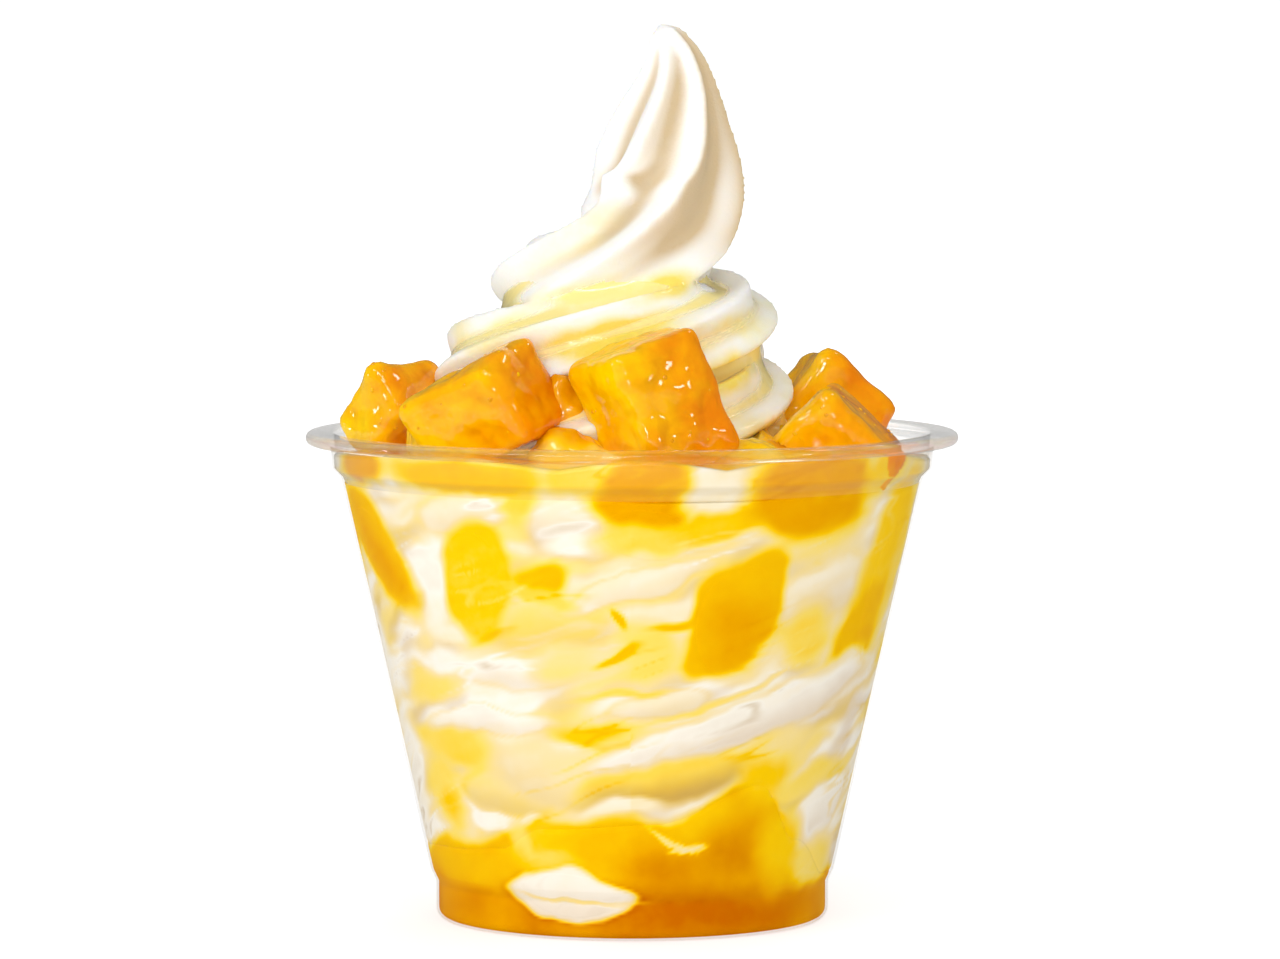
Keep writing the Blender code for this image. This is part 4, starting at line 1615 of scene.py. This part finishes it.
@dataclass
class Swirl:
    """The soft-serve swirl: a fluted rope that coils anticlockwise and is drawn up to a point.

    Each row has the turns made, the centre's X, the coil's radius, the height and the rope's radius in
    mm, and the twist of the rope's ridges in degrees.
    """

    finish: SwirlFinish
    rows: list = field(default_factory=lambda: [
        (-1.25, -2.0, 25.4, 58.4, 8.2, 160), (-1.00, -2.0, 24.6, 61.0, 8.2, 100),
        (-0.75, -2.0, 23.4, 63.6, 8.1, 42), (-0.50, -2.0, 22.0, 66.2, 8.0, -21),
        (-0.25, -2.0, 20.0, 69.2, 7.9, -82), (0.00, -2.1, 18.0, 72.2, 7.8, -141),
        (0.25, -2.4, 18.4, 75.2, 7.8, -201), (0.50, -2.8, 17.7, 77.8, 7.8, -259),
        (0.75, -2.5, 16.3, 81.6, 7.7, -314), (1.00, -1.5, 14.9, 83.8, 7.5, -383),
        (1.25, -0.8, 13.2, 85.6, 7.8, -434), (1.50, -0.2, 11.9, 88.2, 8.3, -480),
        (1.75, -1.5, 7.4, 92.2, 9.6, -508), (1.88, -0.2, 4.4, 97.0, 11.8, -503),
        (1.95, 4.0, 1.0, 102.4, 11.5, -500), (2.00, 5.1, 0.0, 108.0, 10.3, -486),
        (2.00, 5.6, 0.0, 113.0, 8.4, -478), (2.00, 6.0, 0.0, 118.0, 6.1, -472),
        (2.00, 5.6, 0.0, 122.0, 4.1, -471), (2.00, 4.4, 0.0, 125.0, 2.4, -471),
    ])
    steps: int = 14
    tangent_reach: int = 11
    tip_share: float = 0.6
    core_radii: tuple[float, float] = (20.0 * MM, 6.5 * MM)
    core_heights: tuple[float, float] = (58.0 * MM, 93.0 * MM)
    core_offset: float = 1.0 * MM
    voxel: float = 0.51 * MM
    smoothing: int = 2
    peak_from: tuple[float, float] = (90.0 * MM, 98.0 * MM)
    facing_rounds: int = 6
    hollow_rounds: int = 30
    hollow_depths: tuple[float, float] = (-0.1 * MM, 0.5 * MM)

    def path(self) -> bpy.types.Object:
        """The rope's stations as points that carry the directions, radius and twist of the rope there.

        Returns:
            An object whose points the tree reads.
        """
        rows = catmull_rom(np.array(self.rows, dtype=float), self.steps)
        turns, shift, coil, height, radius, twist = rows.T
        centres = np.stack([
            shift + coil * np.cos(TURN * turns), coil * np.sin(TURN * turns), height,
        ], axis=1) * MM
        count = len(centres)
        across = np.array([0.0, 0.0, 1.0])
        frames = []
        for i in range(count):
            reach = min(self.tangent_reach, i, count - 1 - i) or 1
            along = centres[min(count - 1, i + reach)] - centres[max(0, i - reach)]
            along /= np.linalg.norm(along)
            across = across - along * across.dot(along)
            across /= np.linalg.norm(across)
            frames.append((across, np.cross(along, across), along))
        first = centres[0]
        last = centres[-1] + frames[-1][2] * radius[-1] * self.tip_share * MM
        centres = np.vstack([first, centres, last])
        mesh = bpy.data.meshes.new("Rope stations")
        mesh.from_pydata(centres.tolist(), [], [])
        columns = {
            "centre": centres,
            "across": np.array([frames[0][0], *[f[0] for f in frames], frames[-1][0]]),
            "beside": np.array([frames[0][1], *[f[1] for f in frames], frames[-1][1]]),
        }
        for name, values in columns.items():
            layer = mesh.attributes.new(name, "FLOAT_VECTOR", "POINT")
            layer.data.foreach_set("vector", values.astype(np.float32).ravel())
        paint(mesh, "rope_radius", np.array([0.0, *(radius * MM), 0.0]))
        paint(mesh, "ridge_twist", np.radians([twist[0], *twist, twist[-1]]))
        return new_piece("Rope stations", mesh)

    def build(self) -> bpy.types.Object:
        """Lofts the rope, fuses its coils into one skin and paints syrup and painted shade on it.

        Returns:
            The swirl.
        """
        material = self.finish.make()
        rope = self.path()
        mesh = turned_out(FlutedRope().loft(rope, material), WELD)
        with edited(mesh) as edit:
            bmesh.ops.create_cone(
                edit, cap_ends=True, segments=48, radius1=self.core_radii[0], radius2=self.core_radii[1],
                depth=self.core_heights[1] - self.core_heights[0],
                matrix=Matrix.Translation((self.core_offset, 0, sum(self.core_heights) / 2)),
            )
        mesh = remeshed(rope, self.voxel, self.smoothing)
        rope.name = "yogurt_swirl"
        mesh.name = "yogurt_swirl"
        coat(mesh, material)
        points = points_of(mesh)
        hollow = self.hollows(mesh)
        facing = eased(mesh, normals_of(mesh), self.facing_rounds)
        # Painted shade: the 'hollow' amount darkens the valleys, most on the peak, and the peak's
        # right-facing side.
        peak = smoothstep(*self.peak_from, points[:, 2])
        shaded = smoothstep(0.0, 0.85, facing[:, 0]) * peak
        paint(mesh, "hollow", np.clip(0.95 * hollow * (0.35 + 0.65 * peak) + shaded, 0, 1))
        paint(mesh, "sauce", self.sauce(points, hollow))
        settle(rope, "frozen_yogurt", "frozen_yogurt")
        return rope

    @staticmethod
    def sauce(points: np.ndarray, hollow: np.ndarray) -> np.ndarray:
        """How much syrup has run into each point of the swirl.

        Args:
            points: The swirl's points, one row each.
            hollow: How deep each lies in a valley.

        Returns:
            Amounts from 0 to 1.
        """
        where = points / MM
        shift = np.stack([noise_at(where, 5.0, 21.0), noise_at(where, 5.0, 22.0)], axis=1) * 1.3
        radius = np.maximum(np.hypot(where[:, 0], where[:, 1]), 1.0)
        angles = np.degrees(np.arctan2(where[:, 1], where[:, 0]) + shift[:, 0] / radius)
        heights = where[:, 2] + shift[:, 1]
        patches = np.maximum(0, noise_at(where * np.array([1, 1, 2.0]), 7.0, 23.0))
        level = smoothstep(94, 80, heights) * (0.06 + 0.3 * patches + 0.16 * hollow)
        for wash in SWIRL_WASHES:
            level, _ = wash.laid_over(level, level, angles, heights, 16.0)
        return np.clip(level, 0, 1)

    def hollows(self, mesh: bpy.types.Mesh) -> np.ndarray:
        """How deep each point lies in a valley.

        Args:
            mesh: The swirl's mesh.

        Returns:
            Depths from 0 on a ridge to 1 at the bottom of a valley.
        """
        points = points_of(mesh)
        around = eased(mesh, points, self.hollow_rounds)
        depth = np.einsum("ij,ij->i", around - points, normals_of(mesh))
        return smoothstep(*self.hollow_depths, depth)


# Mango and syrup


@dataclass
class MangoChunks:
    """The mango chunks, with uneven glazed faces."""

    cup: CupShell
    finish: MangoFinish
    count: int = 9
    voxel: float = 0.42 * MM
    press: float = 0.18 * MM
    near_wall: float = 0.5 * MM
    pieces: list[bpy.types.Object] = field(default_factory=list)

    def build(self) -> list[bpy.types.Object]:
        """Builds and dresses the chunks.

        Returns:
            The chunks.
        """
        material = self.finish.make()
        for number in range(1, self.count + 1):
            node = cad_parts[f"mango_chunk_{number}"]
            mesh = turned_out(node.data.copy(), 0.01 * MM)
            chunk = new_piece(f"glazed_mango_{number}", mesh)
            mesh = remeshed(chunk, self.voxel, 2)
            mesh.name = chunk.name
            self._shape(mesh, number)
            # Paints light through thin fruit and shade on the right side into the 'depth' amount.
            paint(mesh, "depth", self._depth_and_painted_shade(mesh))
            coat(mesh, material)
            settle(chunk, "mango", node.name)
            self.pieces.append(chunk)
        return self.pieces

    def _shape(self, mesh: bpy.types.Mesh, number: int) -> None:
        """Dents the faces a little and presses the chunk to the wall where it is near it.

        Args:
            mesh: The chunk's mesh.
            number: The chunk's number, which picks its dents.
        """
        points = points_of(mesh)
        normals = normals_of(mesh)
        where = points / MM
        relief = 0.55 * noise_at(where, 5.0, number) + 0.16 * noise_at(where, 2.0, number + 20)
        points = points + normals * relief[:, None] * MM
        reach = np.hypot(points[:, 0], points[:, 1])
        wall = self.cup.inside(points[:, 2])
        near = (reach > wall - self.near_wall) & (points[:, 2] < self.cup.rim_height - self.cup.bead)
        scale = np.where(near, (wall + self.press) / reach, 1.0)
        points[:, :2] *= scale[:, None]
        move_points(mesh, points)

    @staticmethod
    def _depth_and_painted_shade(mesh: bpy.types.Mesh) -> np.ndarray:
        """How deep the colour is: deeper where the fruit is thick, which stands in for light shining through
        thin fruit, and deeper on faces turned right and towards the right, which is painted shade.

        Args:
            mesh: The chunk's mesh.

        Returns:
            Depths of colour, about 0 to 1.
        """
        points = points_of(mesh)
        normals = normals_of(mesh)
        tree = tree_of(mesh)
        depths = []
        for point, normal in zip(points, normals):
            start = Vector(point - normal * 0.05 * MM)
            hit = tree.ray_cast(start, Vector(-normal))
            depths.append(hit[3] if hit[3] is not None else 0.0)
        thickness = smoothstep(2.0 * MM, 14.0 * MM, np.array(depths))
        # Painted shade: faces turned to the right, and the right side of each chunk, are painted deeper
        # orange.
        away = 0.5 + 0.5 * eased(mesh, normals, 4)[:, 0]
        across = points[:, 0] - points[:, 0].min()
        across /= across.max()
        depth = 0.28 * thickness + 0.35 * away + 0.42 * across
        return eased(mesh, depth[:, None], 4)[:, 0]


@dataclass
class GlazeBeads:
    """Tiny beads of syrup on the chunks.

    Density is in beads for each square metre, and flatness is a bead's height as a share of its radius.
    """

    material: bpy.types.Material
    density: float = 3.0e4
    smallest: float = 0.1 * MM
    largest: float = 0.36 * MM
    flatness: float = 0.5
    lowest: float = 66.5 * MM
    seed: int = 5

    def build(self, chunks: Sequence[bpy.types.Object]) -> bpy.types.Object:
        """Scatters the beads over the chunks.

        Args:
            chunks: The mango chunks.

        Returns:
            The beads.
        """
        mesh = bpy.data.meshes.new("glaze_beads")
        with edited(mesh) as edit:
            for chunk in chunks:
                edit.from_mesh(chunk.data)
            hidden = [face for face in edit.faces if face.calc_center_median().z < self.lowest]
            bmesh.ops.delete(edit, geom=hidden, context="FACES")
        beads = new_piece("glaze_beads", mesh)
        tree = GeometryTree("Scattered beads", {
            "Density": "Float", "Smallest": "Float", "Largest": "Float", "Flatness": "Float", "Seed": "Int",
        })
        spread = tree.node("GeometryNodeDistributePointsOnFaces", inputs={
            "Mesh": tree.given("Mesh"), "Density": tree.given("Density"), "Seed": tree.given("Seed"),
        })
        ball = tree.node("GeometryNodeMeshIcoSphere", inputs={"Radius": 1.0, "Subdivisions": 3})
        smooth = tree.node("GeometryNodeSetShadeSmooth", inputs={"Geometry": ball.outputs[0]})
        radius = tree.node("FunctionNodeRandomValue", {"data_type": "FLOAT"}, {
            2: tree.given("Smallest"), 3: tree.given("Largest"), "Seed": tree.given("Seed"),
        })
        wide = Value(tree, radius.outputs[1])
        flat = wide * tree.given("Flatness")
        scale = tree.node("ShaderNodeCombineXYZ", inputs={"X": wide, "Y": wide, "Z": flat})
        placed = tree.node("GeometryNodeInstanceOnPoints", inputs={
            "Points": spread.outputs["Points"], "Instance": smooth.outputs[0],
            "Rotation": spread.outputs["Rotation"], "Scale": scale.outputs[0],
        })
        tree.finish(placed.outputs[0], self.material)
        result = tree.apply(beads, {
            "Density": self.density, "Smallest": self.smallest, "Largest": self.largest,
            "Flatness": self.flatness, "Seed": self.seed,
        })
        paint(result, "sauce", 0.78 + 0.16 * noise_at(points_of(result) / MM, 5.0, 61.0))
        settle(beads, "mango_sauce")
        return beads


@dataclass
class SauceBridges:
    """Sauce that hangs between neighbouring chunks. Each bridge has its centre and half sizes in mm."""

    material: bpy.types.Material
    places: list = field(default_factory=lambda: [
        ((-27.5, -12.5, 68.0), (4.0, 6.0, 4.0)), ((-8.8, -25.5, 66.8), (5.6, 4.4, 4.2)),
        ((16.0, -24.0, 66.0), (6.0, 4.0, 3.2)), ((-9.4, -20.8, 72.6), (3.8, 3.4, 5.4)),
        ((29.0, -4.0, 66.4), (4.4, 5.0, 4.2)), ((24.5, 17.0, 67.0), (4.6, 5.0, 3.6)),
        ((10.5, 27.5, 66.8), (4.6, 4.6, 3.6)), ((-6.5, 28.5, 66.8), (4.6, 4.6, 3.4)),
        ((-23.0, 22.0, 66.4), (5.0, 4.6, 3.2)), ((-31.0, 9.5, 67.0), (4.0, 4.6, 3.6)),
    ])

    def build(self) -> bpy.types.Object:
        """Builds the bridges as uneven blobs.

        Returns:
            The bridges.
        """
        mesh = bpy.data.meshes.new("sauce_between_chunks")
        with edited(mesh) as edit:
            for centre, size in self.places:
                spot = Matrix.Translation(Vector(centre) * MM) @ Matrix.Diagonal((*(Vector(size) * MM), 1))
                bmesh.ops.create_icosphere(edit, subdivisions=5, radius=1.0, matrix=spot)
        points = points_of(mesh)
        turned_out(mesh)
        where = points / MM
        relief = 0.9 * noise_at(where, 3.6, 51.0) + 0.3 * noise_at(where, 1.4, 52.0)
        move_points(mesh, points + normals_of(mesh) * relief[:, None] * MM)
        deep = 0.58 + 0.3 * smoothstep(67.5, 73.0, where[:, 2])
        paint(mesh, "sauce", deep + 0.25 * noise_at(where, 3.0, 53.0))
        bridges = new_piece("sauce_between_chunks", mesh, self.material)
        settle(bridges, "mango_sauce")
        return bridges


@dataclass
class SyrupInCoils:
    """Thin syrup that fills the creases between the swirl's coils."""

    finish: SyrupFinish
    low: float = 66.0 * MM
    high: float = 91.0 * MM
    fade: float = 4.0 * MM
    rounds: int = 127
    normal_rounds: int = 10
    sunk: float = 0.2 * MM
    cover: float = 0.4 * MM
    cut_depth: float = 0.35 * MM
    cut_band: float = 0.05

    def build(self, swirl: bpy.types.Object) -> bpy.types.Object:
        """Makes the syrup as an evened-out skin of the swirl, which shows where it lies over a crease.

        Args:
            swirl: The swirl that it lies on.

        Returns:
            The syrup.
        """
        source = swirl.data
        points = points_of(source)
        normals = normals_of(source)
        level = eased(source, points, self.rounds)
        level_normals = eased(source, normals, self.normal_rounds)
        band = smoothstep(self.low, self.low + self.fade, points[:, 2])
        band = band * smoothstep(self.high, self.high - self.fade, points[:, 2])
        patches = 0.5 + 0.5 * noise_at(points / MM, 8.0, 31.0)
        lift = -self.sunk * (1 - band) - 0.5 * self.sunk * patches
        skin = level + level_normals * lift[:, None]
        depth = np.einsum("ij,ij->i", skin - points, normals)
        mesh = source.copy()
        mesh.name = "syrup_in_coils"
        move_points(mesh, skin)
        for name in ("sauce", "hollow"):
            mesh.attributes.remove(mesh.attributes[name])
        paint(mesh, "thickness", smoothstep(-0.05 * MM, self.cover, depth))
        hidden = (depth < -self.cut_depth) | (band < self.cut_band)
        with edited(mesh) as edit:
            bmesh.ops.delete(edit, geom=[v for v in edit.verts if hidden[v.index]], context="VERTS")
        film = new_piece("syrup_in_coils", mesh, self.finish.make())
        settle(film, "mango_sauce")
        return film


# The studio


@dataclass(frozen=True)
class Softbox:
    """A soft rectangular light that faces the cup.

    Place and size are in metres and power in watts. Mirrored says whether glossy pieces reflect it.
    """

    name: str
    place: Point
    size: tuple[float, float]
    power: float
    mirrored: bool = True
    aim: Point = (0.0, 0.0, 0.06)

    def hang(self) -> None:
        """Hangs the light."""
        light = bpy.data.lights.new(self.name, "AREA")
        light.shape = "RECTANGLE"
        light.size, light.size_y = self.size
        light.energy = self.power
        lamp = new_object(self.name, light)
        lamp.location = self.place
        lamp.visible_glossy = self.mirrored
        towards = Vector(self.aim) - Vector(self.place)
        lamp.rotation_euler = towards.to_track_quat("-Z", "Y").to_euler()


SOFTBOXES = [
    Softbox("Key light", (-1.0, -0.8, 1.1), (0.35, 0.35), 3.8),
    Softbox("Front fill", (0.3, -1.5, 0.35), (1.0, 0.6), 2.7, False),
    Softbox("Top fill", (0.1, 0.15, 1.5), (1.0, 1.0), 2.4, False),
    Softbox("Back fill", (0.5, 1.5, 0.9), (1.0, 1.0), 7.5, False),
    Softbox("Left fill", (-1.35, -0.5, 0.25), (0.4, 0.4), 2.6, False),
    Softbox("Right fill", (1.35, -0.7, 0.08), (0.5, 0.4), 3.3, False),
    Softbox("Left glint", (-0.55, -0.95, 0.7), (0.2, 0.14), 1.5),
    Softbox("Middle glint", (-0.15, -1.45, 0.45), (0.2, 0.15), 2.4),
    Softbox("Right glint", (1.2, -0.6, 0.3), (0.12, 0.12), 0.7),
    Softbox("Low left glint", (-1.25, 0.1, 0.1), (0.1, 0.1), 0.5),
    Softbox("Low front glint", (-0.2, -1.4, 0.06), (0.16, 0.1), 0.8),
    Softbox("High right glint", (0.7, 0.2, 1.0), (0.2, 0.14), 1.0),
    Softbox("Strip light", (-0.1, -1.1, 1.0), (0.9, 0.12), 3.8),
]


@dataclass
class Studio:
    """The floor, the lights and the camera."""

    floor_size: float = 12.0
    floor_depth: float = 900.0
    camera_place: Point = (1.12 * MM, -959.4 * MM, 130.56 * MM)
    camera_pitch: float = 4.089
    lens: float = 191.74
    sensor: float = 36.0
    world_strength: float = 0.26
    world_mirrored: float = 0.5
    world_through: float = 0.8

    def build(self) -> None:
        """Builds the studio."""
        self._floor()
        self._world()
        for softbox in SOFTBOXES:
            softbox.hang()
        self._camera()
        bpy.context.scene.view_settings.view_transform = "Standard"

    def _floor(self) -> None:
        """A pale floor as far as the camera sees."""
        half = self.floor_size / 2
        mesh = bpy.data.meshes.new("floor")
        far = self.floor_depth
        corners = [(-half, -half, 0), (half, -half, 0), (far, far, 0), (-far, far, 0)]
        mesh.from_pydata(corners, [], [(0, 1, 2, 3)])
        new_piece("floor", mesh, StudioFloor().make())

    def _world(self) -> None:
        """Even white light from all round, dimmer in reflections and brighter through clear plastic."""
        world = bpy.data.worlds.new("Studio")
        bpy.context.scene.world = world
        graph = Graph(world, "ShaderNodeOutputWorld")
        mirrored = graph.ray("Glossy") * graph.ray("Reflection")
        through = graph.ray("Transmission") * (self.world_through - self.world_strength)
        dimmed = mirrored * (self.world_strength * (self.world_mirrored - 1)) + self.world_strength
        inputs = {"Color": (1.0, 1.0, 1.0, 1.0), "Strength": dimmed + through}
        graph.finish(graph.node("ShaderNodeBackground", inputs=inputs))

    def _camera(self) -> None:
        """The camera, at the photograph's viewing angle."""
        data = bpy.data.cameras.new("Camera")
        data.lens = self.lens
        data.sensor_width = self.sensor
        data.clip_end = 2 * self.floor_depth
        camera = new_object("Camera", data)
        camera.location = self.camera_place
        camera.rotation_euler = (math.radians(90 - self.camera_pitch), 0, 0)
        bpy.context.scene.camera = camera


def main() -> None:
    """Builds the studio and every piece, in order."""
    logging.basicConfig(level=logging.INFO, format="%(name)s: %(message)s")
    Studio().build()
    cup = CupShell()
    cup.build(ClearPlastic())
    marbling = Marbling(cup)
    yogurt = MarbledFinish("Marbled yogurt", 0.5, 0.0)
    sauce = MarbledFinish("Mango sauce", 0.5, 0.0, mottle=0.08)
    wet = MarbledFinish("Wet mango sauce", 0.15, 0.3, coat=0.6, mottle=0.08)
    contents = Contents(cup, marbling, yogurt, sauce, wet)
    contents.build()
    swirl = Swirl(SwirlFinish()).build()
    chunks = MangoChunks(cup, MangoFinish()).build()
    contents.build_top_sauce(chunks)
    dripping = MarbledFinish("Dripping mango sauce", 0.2, 0.1, coat=0.8, mottle=0.15).make()
    GlazeBeads(dripping).build(chunks)
    SauceBridges(dripping).build()
    SyrupInCoils(SyrupFinish()).build(swirl)


if __name__ == "__main__":
    main()
